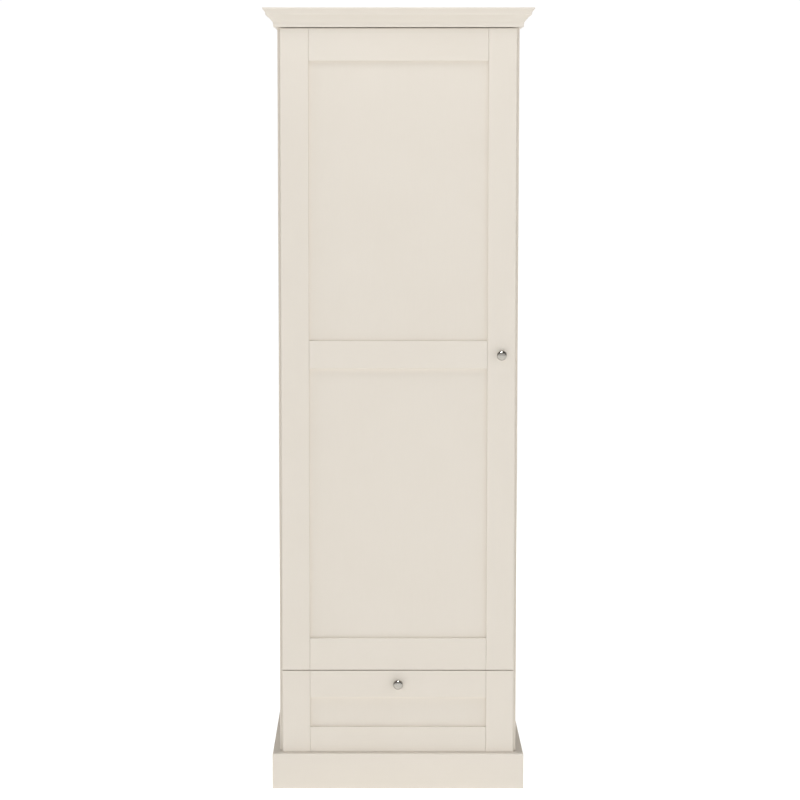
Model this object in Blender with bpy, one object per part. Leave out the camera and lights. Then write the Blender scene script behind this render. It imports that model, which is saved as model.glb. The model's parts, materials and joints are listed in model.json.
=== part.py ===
"""Hall wardrobe with one framed door over one framed drawer.

Metres, +Z up, front towards -Y. The origin is on the floor, under the middle of the outline.
Run it with: blender --background --python part.py
"""

import math

import bmesh
import bpy
from mathutils import Vector

# Fit between pieces that touch
CLEARANCE = 0.0003

# Carcass
BODY_WIDTH = 0.600
BODY_DEPTH = 0.500
BODY_HEIGHT = 1.963
BOARD = 0.018
BACK_THICKNESS = 0.006
BACK_REBATE_DEPTH = 0.008
BACK_REBATE_WIDTH = 0.009
STRETCHER_HEIGHT = 0.065

# Door and drawer fronts
FRONT_THICKNESS = 0.020
FRONT_STANDOFF = 0.002
SIDE_REVEAL = 0.007
PLINTH_TO_DRAWER_GAP = 0.0006
DRAWER_TO_DOOR_GAP = 0.002
DOOR_TO_CORNICE_GAP = 0.0023
STILE_WIDTH = 0.070
DOOR_TOP_RAIL_HEIGHT = 0.0805
DOOR_MID_RAIL_HEIGHT = 0.070
DOOR_MID_RAIL_LEVEL = 1.1045
DOOR_BOTTOM_RAIL_HEIGHT = 0.0813
DRAWER_FRONT_HEIGHT = 0.2101
DRAWER_TOP_RAIL_HEIGHT = 0.0687
DRAWER_BOTTOM_RAIL_HEIGHT = 0.0649
PANEL_THICKNESS = 0.006
PANEL_RECESS = 0.008
GROOVE_DEPTH = 0.009
EDGE_CHAMFER = 0.0008

# Cornice, as a projection from its seat against a depth below its top
CORNICE_HEIGHT = 0.0472
CORNICE_PROJECTION = 0.0345
CORNICE_LIP = 0.0035
CORNICE_HOLLOW_END = 0.012
CORNICE_HOLLOW_PROJECTION = 0.0276
CORNICE_HOLLOW_SAG = 0.0004
CORNICE_ROUND_END = 0.020
CORNICE_ROUND_PROJECTION = 0.0238
CORNICE_STEP = 0.0014
CORNICE_COVE_END = 0.0355
CORNICE_COVE_SAG = 0.0002
CORNICE_FOOT_PROJECTION = 0.0082
CORNICE_FOOT_FLARE = 0.0013
CORNICE_FOOT_RADIUS = 0.0012

# Plinth
PLINTH_HEIGHT = 0.090
PLINTH_BOARD = 0.018
PLINTH_EDGE_RADIUS = 0.003

# Knobs and their screws
KNOB_RADIUS = 0.0125
KNOB_PROJECTION = 0.028
KNOB_FOOT_RADIUS = 0.0068
KNOB_FOOT_HEIGHT = 0.0022
KNOB_NECK_RADIUS = 0.0046
KNOB_HEAD_HEIGHT = 0.0125
KNOB_RIM_RISE = 0.0052
KNOB_BORE_DEPTH = 0.012
KNOB_DOME_POWER = 0.85
KNOB_HEIGHT_IN_DRAWER_FRONT = 0.1784
SCREW_RADIUS = 0.0020
SCREW_HEAD_RADIUS = 0.0045
SCREW_HEAD_HEIGHT = 0.0025
SCREW_HEAD_ROUND = 0.0010
SCREW_REACH = 0.010

# Concealed hinges
HINGE_END_DISTANCE = 0.090
HINGE_CUP_RADIUS = 0.0175
HINGE_CUP_DEPTH = 0.0115
HINGE_CUP_WALL = 0.0011
HINGE_CUP_EDGE_DISTANCE = 0.022
HINGE_FLANGE_THICKNESS = 0.0011
HINGE_FLANGE_WIDTH = 0.037
HINGE_FLANGE_HEIGHT = 0.052
HINGE_CUP_PIN_FROM_EDGE = 0.0075
HINGE_CUP_PIN_BEHIND_FRONTS = 0.0035
HINGE_LINK_SPAN = 0.0245
HINGE_LINK_RISE = 0.0070
HINGE_LINK_THICKNESS = 0.0022
HINGE_LINK_HEIGHT = 0.0070
HINGE_LINK_DIP = 0.0075
HINGE_LINK_DIP_START = 0.0025
HINGE_LINK_DIP_END = 0.0190
HINGE_LINK_EYE_RADIUS = 0.0030
HINGE_PIN_RADIUS = 0.0012
HINGE_NOSE_RADIUS = 0.0032
HINGE_NOSE_DEPTH = 0.0055
HINGE_CHEEK = 0.0025
HINGE_ARM_LENGTH = 0.060
HINGE_ARM_TAIL_WIDTH = 0.0095
HINGE_ARM_TAPER = 0.020
HINGE_PLATE_THICKNESS = 0.0057
HINGE_PLATE_SETBACK = 0.020
HINGE_PLATE_LENGTH = 0.036
HINGE_PLATE_HEIGHT = 0.048

# Door bumpers
BUMPER_RADIUS = 0.004
BUMPER_END_DISTANCE = 0.045

# Hanging rail
RAIL_TUBE_HEIGHT = 0.030
RAIL_TUBE_WIDTH = 0.015
RAIL_TUBE_WALL = 0.0012
RAIL_DROP = 0.130
RAIL_SETBACK = 0.250
SOCKET_DEPTH = 0.012
SOCKET_FLOOR = 0.002
SOCKET_WALL = 0.0025

# Drawer box and runners
DRAWER_BOARD = 0.012
DRAWER_BACK_SPACE = 0.0437
DRAWER_BOX_HEIGHT = 0.170
DRAWER_BOX_LIFT = 0.014
DRAWER_SIDE_SPACE = 0.0127
DRAWER_BOTTOM_THICKNESS = 0.006
DRAWER_BOTTOM_LIFT = 0.010
DRAWER_GROOVE_DEPTH = 0.006
RUNNER_HEIGHT = 0.035
RUNNER_WALL = 0.0015
RUNNER_REACH = 0.0100
RUNNER_SETBACK = 0.004
RUNNER_LIFT = 0.045

# Roundness of turned and rounded forms
ROUND_STEPS = 28
CUP_STEPS = 40
ARC_STEPS = 5
LINK_STEPS = 12
SMOOTH_BELOW_DEGREES = 35

# Places worked out from the sizes above
HALF_BODY = BODY_WIDTH / 2
HALF_INSIDE = HALF_BODY - BOARD
FACE_DEPTH = FRONT_STANDOFF + FRONT_THICKNESS
FRONT_REACH = FACE_DEPTH + max(CORNICE_PROJECTION, PLINTH_BOARD)
FRONT_Y = (FRONT_REACH - BODY_DEPTH) / 2
BACK_Y = FRONT_Y + BODY_DEPTH
FACE_Y = FRONT_Y - FACE_DEPTH
FRONT_BACK_Y = FRONT_Y - FRONT_STANDOFF
REBATE_Y = BACK_Y - BACK_REBATE_DEPTH
TOP_UNDERSIDE = BODY_HEIGHT - BOARD
BASE_UNDERSIDE = PLINTH_HEIGHT - BOARD
RAIL_LEVEL = TOP_UNDERSIDE - RAIL_DROP
HALF_FRONT = HALF_BODY - SIDE_REVEAL
DRAWER_BOTTOM_Z = PLINTH_HEIGHT + PLINTH_TO_DRAWER_GAP
DRAWER_TOP_Z = DRAWER_BOTTOM_Z + DRAWER_FRONT_HEIGHT
DOOR_BOTTOM_Z = DRAWER_TOP_Z + DRAWER_TO_DOOR_GAP
CORNICE_BOTTOM_Z = BODY_HEIGHT - CORNICE_HEIGHT
DOOR_TOP_Z = CORNICE_BOTTOM_Z - DOOR_TO_CORNICE_GAP
DIVIDER_Z = (DRAWER_TOP_Z + DOOR_BOTTOM_Z - BOARD) / 2
PANEL_FRONT_Y = FACE_Y + PANEL_RECESS
PANEL_BACK_Y = PANEL_FRONT_Y + PANEL_THICKNESS
HINGE_LEVELS = {
    "lower": DOOR_BOTTOM_Z + HINGE_END_DISTANCE,
    "middle": (DOOR_BOTTOM_Z + DOOR_TOP_Z) / 2,
    "upper": DOOR_TOP_Z - HINGE_END_DISTANCE,
}
CUP_PIN = Vector((
    -HALF_FRONT + HINGE_CUP_PIN_FROM_EDGE,
    FRONT_BACK_Y - HINGE_CUP_PIN_BEHIND_FRONTS,
    0.0,
))
ARM_PIN = CUP_PIN + Vector((HINGE_LINK_SPAN, HINGE_LINK_RISE, 0.0))
DRAWER_BOX_FRONT_Y = FRONT_BACK_Y + CLEARANCE
DRAWER_BOX_BACK_Y = REBATE_Y - DRAWER_BACK_SPACE
DRAWER_BOX_Z = PLINTH_HEIGHT + DRAWER_BOX_LIFT
HALF_DRAWER_BOX = HALF_INSIDE - DRAWER_SIDE_SPACE
DRAWER_KNOB_Z = DRAWER_BOTTOM_Z + KNOB_HEIGHT_IN_DRAWER_FRONT
DOOR_KNOB_X = HALF_FRONT - STILE_WIDTH / 2


def clear_scene():
    """Remove whatever the file holds."""
    for item in list(bpy.data.objects):
        bpy.data.objects.remove(item, do_unlink=True)


def finish(name, colour, roughness, metallic=0.0):
    """Return a material with one Principled BSDF."""
    material = bpy.data.materials.new(name)
    material.use_nodes = True
    shader = material.node_tree.nodes["Principled BSDF"]
    shader.inputs["Base Color"].default_value = (*colour, 1.0)
    shader.inputs["Roughness"].default_value = roughness
    shader.inputs["Metallic"].default_value = metallic
    material.diffuse_color = (*colour, 1.0)
    return material


def pivot(name, place):
    """Return an empty that stands on a joint's axis."""
    empty = bpy.data.objects.new(name, None)
    empty.location = place
    bpy.context.collection.objects.link(empty)
    return empty


def make_object(name, bm, material, parent=None, smooth=False):
    """Turn a bmesh into an object whose origin is the middle of its box."""
    low = Vector([min(v.co[i] for v in bm.verts) for i in range(3)])
    high = Vector([max(v.co[i] for v in bm.verts) for i in range(3)])
    middle = (low + high) / 2
    bmesh.ops.translate(bm, verts=bm.verts, vec=-middle)
    bmesh.ops.recalc_face_normals(bm, faces=bm.faces)
    mesh = bpy.data.meshes.new(name)
    bm.to_mesh(mesh)
    bm.free()
    if smooth:
        mesh.shade_smooth()
        mesh.set_sharp_from_angle(angle=math.radians(SMOOTH_BELOW_DEGREES))
    mesh.materials.append(material)
    item = bpy.data.objects.new(name, mesh)
    bpy.context.collection.objects.link(item)
    item.parent = parent
    item.location = middle - parent.location if parent else middle
    return item


def at_axis(axis, a, b, along):
    """Put outline point (a, b) at a distance along the axis X, Y or Z."""
    return {"X": (along, a, b), "Y": (a, along, b), "Z": (a, b, along)}[axis]


def close_between(bm, low, high):
    """Skin two matching loops and cap both."""
    count = len(low)
    for i in range(count):
        j = (i + 1) % count
        bm.faces.new((low[i], low[j], high[j], high[i]))
    bm.faces.new(list(reversed(low)))
    bm.faces.new(high)


def prism(name, outline, axis, ends, material, parent=None, smooth=False):
    """Extrude a closed outline along an axis between two ends."""
    bm = bmesh.new()
    low = [bm.verts.new(at_axis(axis, a, b, ends[0])) for a, b in outline]
    high = [bm.verts.new(at_axis(axis, a, b, ends[1])) for a, b in outline]
    close_between(bm, low, high)
    return make_object(name, bm, material, parent, smooth)


def board(name, x, y, z, material, parent=None):
    """Return a plain rectangular board between three pairs of limits."""
    outline = [(x[0], y[0]), (x[1], y[0]), (x[1], y[1]), (x[0], y[1])]
    return prism(name, outline, "Z", z, material, parent)


def turned(name, profile, centre, front_y, material, parent=None, steps=ROUND_STEPS):
    """Turn (radius, height) points about a line along Y, with height measured towards -Y."""
    bm = bmesh.new()
    rings = []
    for radius, height in profile:
        count = steps if radius > 0 else 1
        ring = []
        for i in range(count):
            angle = 2 * math.pi * i / steps
            x = centre[0] + radius * math.cos(angle)
            z = centre[1] + radius * math.sin(angle)
            ring.append(bm.verts.new((x, front_y - height, z)))
        rings.append(ring)
    for lower, upper in zip(rings, rings[1:]):
        for i in range(steps):
            j = (i + 1) % steps
            corners = [lower[i % len(lower)], lower[j % len(lower)],
                       upper[j % len(upper)], upper[i % len(upper)]]
            bm.faces.new(list(dict.fromkeys(corners)))
    return make_object(name, bm, material, parent, smooth=True)


def circle_outline(centre, radius, steps=ROUND_STEPS):
    """Return a closed round outline."""
    angles = [2 * math.pi * i / steps for i in range(steps)]
    return [(centre[0] + radius * math.cos(a), centre[1] + radius * math.sin(a)) for a in angles]


def arc(centre, radius, start, end, steps=ARC_STEPS):
    """Return points on an arc, with angles in degrees."""
    points = []
    for i in range(steps + 1):
        angle = math.radians(start + (end - start) * i / steps)
        points.append((centre[0] + radius * math.cos(angle), centre[1] + radius * math.sin(angle)))
    return points


def notched_outline(a, b, notches):
    """Return a rectangle with square notches in its edges.

    Each notch is edge: (low, high, depth), with the edge a_low, a_high, b_low or b_high.
    """
    points = [(a[0], b[0])]
    if "b_low" in notches:
        low, high, depth = notches["b_low"]
        points += [(low, b[0]), (low, b[0] + depth), (high, b[0] + depth), (high, b[0])]
    points.append((a[1], b[0]))
    if "a_high" in notches:
        low, high, depth = notches["a_high"]
        points += [(a[1], low), (a[1] - depth, low), (a[1] - depth, high), (a[1], high)]
    points.append((a[1], b[1]))
    if "b_high" in notches:
        low, high, depth = notches["b_high"]
        points += [(high, b[1]), (high, b[1] - depth), (low, b[1] - depth), (low, b[1])]
    points.append((a[0], b[1]))
    if "a_low" in notches:
        low, high, depth = notches["a_low"]
        points += [(a[0], high), (a[0] + depth, high), (a[0] + depth, low), (a[0], low)]
    return points


def use_tool(item, tool, operation):
    """Cut an object by a tool, or fuse the tool to it, and hide the tool."""
    modifier = item.modifiers.new(tool.name, "BOOLEAN")
    modifier.operation = operation
    modifier.object = tool
    tool.hide_render = True
    tool.display_type = "WIRE"


def soften_front(item, width):
    """Chamfer the edges round an object's front face."""
    mesh = item.data
    front = min(v.co.y for v in mesh.vertices) + CLEARANCE
    weights = mesh.attributes.new("bevel_weight_edge", "FLOAT", "EDGE")
    for edge in mesh.edges:
        on_front = all(mesh.vertices[i].co.y < front for i in edge.vertices)
        weights.data[edge.index].value = float(on_front)
    modifier = item.modifiers.new("front_chamfer", "BEVEL")
    modifier.width = width
    modifier.segments = 1
    modifier.limit_method = "WEIGHT"


def build_sides(paint):
    """Side panels that stand on the floor, rebated at the back for the back panel."""
    step = HALF_INSIDE + BACK_REBATE_WIDTH
    outline = [
        (HALF_INSIDE, FRONT_Y), (HALF_BODY, FRONT_Y), (HALF_BODY, BACK_Y),
        (step, BACK_Y), (step, REBATE_Y), (HALF_INSIDE, REBATE_Y),
    ]
    height = (0.0, TOP_UNDERSIDE - CLEARANCE)
    prism("right_side_panel", outline, "Z", height, paint)
    prism("left_side_panel", [(-x, y) for x, y in outline], "Z", height, paint)


def build_inner_boards(paint, raw_board):
    """Top, base, divider, stretchers, back panel and the back board of the plinth."""
    inside = (-HALF_INSIDE + CLEARANCE, HALF_INSIDE - CLEARANCE)
    depth = (FRONT_Y, REBATE_Y - CLEARANCE)
    behind = (REBATE_Y - CLEARANCE - BOARD, REBATE_Y - CLEARANCE)
    stretcher = (TOP_UNDERSIDE - STRETCHER_HEIGHT, TOP_UNDERSIDE - CLEARANCE)
    board("top_panel", (-HALF_BODY, HALF_BODY), (FACE_Y, BACK_Y), (TOP_UNDERSIDE, BODY_HEIGHT), paint)
    board("base_panel", inside, depth, (BASE_UNDERSIDE, PLINTH_HEIGHT), paint)
    board("drawer_divider", inside, depth, (DIVIDER_Z, DIVIDER_Z + BOARD), paint)
    board("top_front_rail", inside, (FRONT_Y, FRONT_Y + BOARD), stretcher, paint)
    board("top_back_rail", inside, behind, stretcher, paint)
    board("plinth_back", inside, behind, (0.0, BASE_UNDERSIDE - CLEARANCE), paint)
    half_back = HALF_INSIDE + BACK_REBATE_WIDTH - CLEARANCE
    back_y = REBATE_Y + CLEARANCE
    board("back_panel", (-half_back, half_back), (back_y, back_y + BACK_THICKNESS),
          (BASE_UNDERSIDE, TOP_UNDERSIDE - CLEARANCE), raw_board)


def bowed(start, end, sag):
    """Return points from start to end, both (projection, height), bowed back by sag."""
    points = []
    for i in range(ARC_STEPS + 1):
        share = i / ARC_STEPS
        bow = sag * math.sin(math.pi * share)
        points.append((start[0] + (end[0] - start[0]) * share - bow,
                       start[1] + (end[1] - start[1]) * share))
    return points


def cornice_profile():
    """Return (projection, height) points: a lip, a hollow and a round over a long cove."""
    top = BODY_HEIGHT
    round_drop = CORNICE_ROUND_END - CORNICE_HOLLOW_END
    round_run = CORNICE_HOLLOW_PROJECTION - CORNICE_ROUND_PROJECTION
    points = [(0.0, top), (CORNICE_PROJECTION, top)]
    points += bowed((CORNICE_PROJECTION, top - CORNICE_LIP),
                    (CORNICE_HOLLOW_PROJECTION, top - CORNICE_HOLLOW_END), CORNICE_HOLLOW_SAG)
    for i in range(1, ARC_STEPS + 1):
        turn = math.pi / 2 * i / ARC_STEPS
        points.append((CORNICE_HOLLOW_PROJECTION - round_run * (1 - math.cos(turn)),
                       top - CORNICE_HOLLOW_END - round_drop * math.sin(turn)))
    points += bowed((CORNICE_ROUND_PROJECTION - CORNICE_STEP, top - CORNICE_ROUND_END),
                    (CORNICE_FOOT_PROJECTION + CORNICE_FOOT_FLARE, top - CORNICE_COVE_END),
                    CORNICE_COVE_SAG)
    bottom = top - CORNICE_HEIGHT
    foot = CORNICE_FOOT_PROJECTION
    points += arc((foot - CORNICE_FOOT_RADIUS, bottom + CORNICE_FOOT_RADIUS), CORNICE_FOOT_RADIUS, 0, -90)
    points.append((0.0, bottom))
    return points


def plinth_profile():
    """Return (projection, height) points: a board with a rounded top edge."""
    radius = PLINTH_EDGE_RADIUS
    corner = arc((PLINTH_BOARD - radius, PLINTH_HEIGHT - radius), radius, 90, 0)
    return [(0.0, 0.0), (0.0, PLINTH_HEIGHT)] + corner + [(PLINTH_BOARD, 0.0)]


def mitred_set(prefix, profile, material):
    """Run a profile round the front and both sides of the body, mitred at the front corners."""
    seat = CLEARANCE
    side_seat = HALF_BODY + seat
    front_seat = FACE_Y - seat
    bm = bmesh.new()
    left = [bm.verts.new((-side_seat - p + seat, front_seat - p, z)) for p, z in profile]
    right = [bm.verts.new((side_seat + p - seat, front_seat - p, z)) for p, z in profile]
    close_between(bm, left, right)
    make_object(prefix + "_front", bm, material)
    for side, sign in (("left", -1), ("right", 1)):
        bm = bmesh.new()
        front = [bm.verts.new((sign * (side_seat + p), front_seat - p + seat, z)) for p, z in profile]
        back = [bm.verts.new((sign * (side_seat + p), BACK_Y, z)) for p, z in profile]
        close_between(bm, front, back)
        make_object(f"{prefix}_{side}", bm, material)


def build_mouldings(paint):
    """Cornice and plinth, and the packers that carry them level with the fronts."""
    mitred_set("cornice", cornice_profile(), paint)
    mitred_set("plinth", plinth_profile(), paint)
    width = (-HALF_BODY, HALF_BODY)
    depth = (FACE_Y, FRONT_Y - CLEARANCE)
    board("cornice_packer", width, depth, (CORNICE_BOTTOM_Z, TOP_UNDERSIDE - CLEARANCE), paint)
    board("plinth_packer", width, depth, (0.0, PLINTH_HEIGHT), paint)


def frame_stile(name, side, z, paint, parent):
    """Upright of a framed front, grooved along its inner edge."""
    groove = (PANEL_FRONT_Y - CLEARANCE, PANEL_BACK_Y + CLEARANCE, GROOVE_DEPTH)
    x = (HALF_FRONT - STILE_WIDTH, HALF_FRONT)
    outline = notched_outline(x, (FACE_Y, FRONT_BACK_Y), {"a_low": groove})
    if side < 0:
        outline = [(-a, b) for a, b in outline]
    stile = prism(name, outline, "Z", z, paint, parent)
    soften_front(stile, EDGE_CHAMFER)
    return stile


def frame_rail(name, z, grooved_edges, paint, parent):
    """Cross piece of a framed front, grooved for its panels, with tenons that fill the stiles' grooves."""
    groove = (PANEL_FRONT_Y - CLEARANCE, PANEL_BACK_Y + CLEARANCE, GROOVE_DEPTH)
    outline = notched_outline((FACE_Y, FRONT_BACK_Y), z, {edge: groove for edge in grooved_edges})
    half = HALF_FRONT - STILE_WIDTH - CLEARANCE
    rail = prism(name, outline, "X", (-half, half), paint, parent)
    soften_front(rail, EDGE_CHAMFER)
    half_tenon = half + GROOVE_DEPTH
    inset = {edge: GROOVE_DEPTH + CLEARANCE if edge in grooved_edges else CLEARANCE
             for edge in ("b_low", "b_high")}
    tenon = board(name + "_tenon", (-half_tenon, half_tenon), (PANEL_FRONT_Y, PANEL_BACK_Y),
                  (z[0] + inset["b_low"], z[1] - inset["b_high"]), paint, parent)
    use_tool(rail, tenon, "UNION")
    return rail


def frame_panel(name, z, paint, parent):
    """Flat panel held in the grooves between two rails and two stiles."""
    reach = GROOVE_DEPTH - CLEARANCE
    half = HALF_FRONT - STILE_WIDTH + reach
    return board(name, (-half, half), (PANEL_FRONT_Y, PANEL_BACK_Y), (z[0] - reach, z[1] + reach),
                 paint, parent)


def knob_profile():
    """Return (radius, height) points of a mushroom knob with a bore in its foot.

    The dome is an ellipse raised to a power under 1, which makes its face fuller.
    """
    bore = SCREW_RADIUS + CLEARANCE
    head_start = KNOB_PROJECTION - KNOB_HEAD_HEIGHT
    rim_height = head_start + KNOB_RIM_RISE
    flare_run = KNOB_RADIUS - KNOB_NECK_RADIUS
    points = [(0.0, KNOB_BORE_DEPTH), (bore, KNOB_BORE_DEPTH), (bore, CLEARANCE)]
    points += [(KNOB_FOOT_RADIUS, CLEARANCE), (KNOB_FOOT_RADIUS, KNOB_FOOT_HEIGHT)]
    points.append((KNOB_NECK_RADIUS, KNOB_FOOT_HEIGHT + (KNOB_FOOT_RADIUS - KNOB_NECK_RADIUS)))
    for i in range(ARC_STEPS + 1):
        turn = math.pi / 2 * i / ARC_STEPS
        points.append((KNOB_NECK_RADIUS + flare_run * math.sin(turn),
                       head_start - (head_start - rim_height) * (1 - math.cos(turn))))
    for i in range(1, ARC_STEPS + 1):
        turn = math.pi / 2 * i / ARC_STEPS
        out = KNOB_RADIUS * math.cos(turn) ** KNOB_DOME_POWER if i < ARC_STEPS else 0.0
        points.append((out, rim_height + (KNOB_PROJECTION - rim_height) * math.sin(turn) ** KNOB_DOME_POWER))
    return points


def knob_and_screw(prefix, centre, grip, fronts, metal, steel, parent):
    """Add a knob in front of the drilled boards, and the screw that holds it from behind.

    The grip is the thickness of all the boards between the knob and the screw's head.
    """
    drill = prism(prefix + "_drill", circle_outline(centre, SCREW_RADIUS + CLEARANCE), "Y",
                  (FACE_Y - grip, FACE_Y + 2 * grip), steel, parent)
    for item in fronts:
        use_tool(item, drill, "DIFFERENCE")
    turned(prefix, knob_profile(), centre, FACE_Y, metal, parent)
    seat = -(grip + CLEARANCE)
    profile = [
        (0.0, seat - SCREW_HEAD_HEIGHT), (SCREW_HEAD_RADIUS - SCREW_HEAD_ROUND, seat - SCREW_HEAD_HEIGHT),
        (SCREW_HEAD_RADIUS, seat - SCREW_HEAD_HEIGHT + SCREW_HEAD_ROUND), (SCREW_HEAD_RADIUS, seat),
        (SCREW_RADIUS, seat), (SCREW_RADIUS, SCREW_REACH), (0.0, SCREW_REACH),
    ]
    turned(prefix + "_screw", profile, centre, FACE_Y, steel, parent)


def link_outline():
    """Return a strip that follows a curve from the cup pin, down into the cup, to the arm pin."""
    start = Vector((0.0, 0.0))
    end = Vector((HINGE_LINK_SPAN, HINGE_LINK_RISE))
    first = Vector((HINGE_LINK_DIP_START, -HINGE_LINK_DIP))
    second = Vector((HINGE_LINK_DIP_END, -HINGE_LINK_DIP))
    half = HINGE_LINK_THICKNESS / 2
    above = []
    below = []
    for i in range(LINK_STEPS + 1):
        t = i / LINK_STEPS
        s = 1 - t
        point = s ** 3 * start + 3 * s * s * t * first + 3 * s * t * t * second + t ** 3 * end
        slope = 3 * s * s * (first - start) + 6 * s * t * (second - first) + 3 * t * t * (end - second)
        normal = Vector((-slope.y, slope.x)).normalized() * half
        above.append(point + normal)
        below.append(point - normal)
    outline = above + list(reversed(below))
    return [(CUP_PIN.x + p.x, CUP_PIN.y + p.y) for p in outline]


def hinge_link(level_name, z, steel, parent):
    """Curved link between the cup and the arm, with an eye on the arm's pin."""
    half = HINGE_LINK_HEIGHT / 2
    ends = (z - half, z + half)
    name = "hinge_link_" + level_name
    link = prism(name, link_outline(), "Z", ends, steel, parent)
    eye = prism(name + "_eye", circle_outline(ARM_PIN.xy, HINGE_LINK_EYE_RADIUS), "Z",
                (ends[0] + CLEARANCE / 2, ends[1] - CLEARANCE / 2), steel, parent)
    knuckle = prism(name + "_knuckle", circle_outline(CUP_PIN.xy, HINGE_LINK_THICKNESS / 2 + CLEARANCE / 3),
                    "Z", (ends[0] + CLEARANCE / 2, ends[1] - CLEARANCE / 2), steel, parent)
    bore = prism(name + "_bore", circle_outline(ARM_PIN.xy, HINGE_PIN_RADIUS + CLEARANCE), "Z",
                 (ends[0] - BOARD, ends[1] + BOARD), steel, parent)
    use_tool(link, eye, "UNION")
    use_tool(link, knuckle, "UNION")
    use_tool(link, bore, "DIFFERENCE")


def hinge_arm(level_name, z, steel):
    """Fixed arm whose forked nose carries the arm pin."""
    name = "hinge_arm_" + level_name
    half = HINGE_LINK_HEIGHT / 2 + CLEARANCE + HINGE_CHEEK
    near_side = -HALF_INSIDE + HINGE_PLATE_THICKNESS + 2 * CLEARANCE
    nose_left = ARM_PIN.x - HINGE_NOSE_RADIUS
    nose_right = ARM_PIN.x + HINGE_NOSE_RADIUS
    fork_end = ARM_PIN.y + HINGE_NOSE_DEPTH
    tail = fork_end + HINGE_ARM_LENGTH
    outline = arc(ARM_PIN.xy, HINGE_NOSE_RADIUS, 180, 360, 2 * ARC_STEPS)
    outline += [
        (nose_right, fork_end), (near_side + HINGE_ARM_TAIL_WIDTH, fork_end + HINGE_ARM_TAPER),
        (near_side + HINGE_ARM_TAIL_WIDTH, tail), (near_side, tail),
        (near_side, fork_end + HINGE_NOSE_DEPTH), (nose_left, fork_end),
    ]
    arm = prism(name, outline, "Z", (z - half, z + half), steel)
    gap = HINGE_LINK_HEIGHT / 2 + CLEARANCE
    reach = HINGE_LINK_EYE_RADIUS + CLEARANCE
    slot = board(name + "_slot", (nose_left - BOARD, nose_right + BOARD),
                 (ARM_PIN.y - BOARD, ARM_PIN.y + reach), (z - gap, z + gap), steel)
    pin_half = half - HINGE_CHEEK / 3
    pin = prism(name + "_pin", circle_outline(ARM_PIN.xy, HINGE_PIN_RADIUS), "Z",
                (z - pin_half, z + pin_half), steel)
    use_tool(arm, slot, "DIFFERENCE")
    use_tool(arm, pin, "UNION")


def hinge_plate(level_name, z, steel):
    """Plate on the side panel that carries the arm."""
    x = (-HALF_INSIDE + CLEARANCE, -HALF_INSIDE + CLEARANCE + HINGE_PLATE_THICKNESS)
    start = FRONT_Y + HINGE_PLATE_SETBACK
    half = HINGE_PLATE_HEIGHT / 2
    board("hinge_plate_" + level_name, x, (start, start + HINGE_PLATE_LENGTH), (z - half, z + half), steel)


def hinge_cup(level_name, z, stile, steel, parent):
    """Cup let into the back of the door, with its flange on the door's back face."""
    name = "hinge_cup_" + level_name
    centre = (-HALF_FRONT + HINGE_CUP_EDGE_DISTANCE, z)
    seat = FRONT_BACK_Y + CLEARANCE
    top = seat + HINGE_FLANGE_THICKNESS
    bottom = FRONT_BACK_Y - HINGE_CUP_DEPTH
    half_width = HINGE_FLANGE_WIDTH / 2
    half_height = HINGE_FLANGE_HEIGHT / 2
    flange = board(name, (centre[0] - half_width, centre[0] + half_width), (seat, top),
                   (z - half_height, z + half_height), steel, parent)
    shell = prism(name + "_shell", circle_outline(centre, HINGE_CUP_RADIUS, CUP_STEPS), "Y",
                  (bottom, seat + HINGE_FLANGE_THICKNESS / 2), steel, parent)
    hollow = prism(name + "_hollow", circle_outline(centre, HINGE_CUP_RADIUS - HINGE_CUP_WALL, CUP_STEPS),
                   "Y", (bottom + HINGE_CUP_WALL, top + BOARD), steel, parent)
    pocket = prism(name + "_pocket", circle_outline(centre, HINGE_CUP_RADIUS + CLEARANCE, CUP_STEPS), "Y",
                   (bottom - CLEARANCE, top + BOARD), steel, parent)
    use_tool(flange, shell, "UNION")
    use_tool(flange, hollow, "DIFFERENCE")
    use_tool(stile, pocket, "DIFFERENCE")


def build_door(paint, metal, steel, rubber):
    """Framed door with two panels, its knob, hinge cups and bumpers, and the hinges."""
    link_pivot = pivot("hinge_links_pivot", ARM_PIN)
    door_pivot = pivot("door_pivot", CUP_PIN)
    z = (DOOR_BOTTOM_Z, DOOR_TOP_Z)
    bottom = (z[0], z[0] + DOOR_BOTTOM_RAIL_HEIGHT)
    mid = (DOOR_MID_RAIL_LEVEL - DOOR_MID_RAIL_HEIGHT / 2, DOOR_MID_RAIL_LEVEL + DOOR_MID_RAIL_HEIGHT / 2)
    top = (z[1] - DOOR_TOP_RAIL_HEIGHT, z[1])
    left = frame_stile("door_left_stile", -1, z, paint, door_pivot)
    right = frame_stile("door_right_stile", 1, z, paint, door_pivot)
    frame_rail("door_bottom_rail", bottom, ["b_high"], paint, door_pivot)
    frame_rail("door_mid_rail", mid, ["b_low", "b_high"], paint, door_pivot)
    frame_rail("door_top_rail", top, ["b_low"], paint, door_pivot)
    frame_panel("door_lower_panel", (bottom[1], mid[0]), paint, door_pivot)
    frame_panel("door_upper_panel", (mid[1], top[0]), paint, door_pivot)
    knob_and_screw("door_knob", (DOOR_KNOB_X, DOOR_MID_RAIL_LEVEL), FRONT_THICKNESS, [right],
                   metal, steel, door_pivot)
    for level_name, level in HINGE_LEVELS.items():
        hinge_plate(level_name, level, steel)
        hinge_arm(level_name, level, steel)
        hinge_link(level_name, level, steel, link_pivot)
        hinge_cup(level_name, level, left, steel, door_pivot)
    bumper_x = (HALF_INSIDE + HALF_FRONT) / 2
    for level_name, level in (("lower", z[0] + BUMPER_END_DISTANCE), ("upper", z[1] - BUMPER_END_DISTANCE)):
        prism("door_bumper_" + level_name, circle_outline((bumper_x, level), BUMPER_RADIUS), "Y",
              (FRONT_BACK_Y + CLEARANCE, FRONT_Y - CLEARANCE), rubber, door_pivot)


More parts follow.
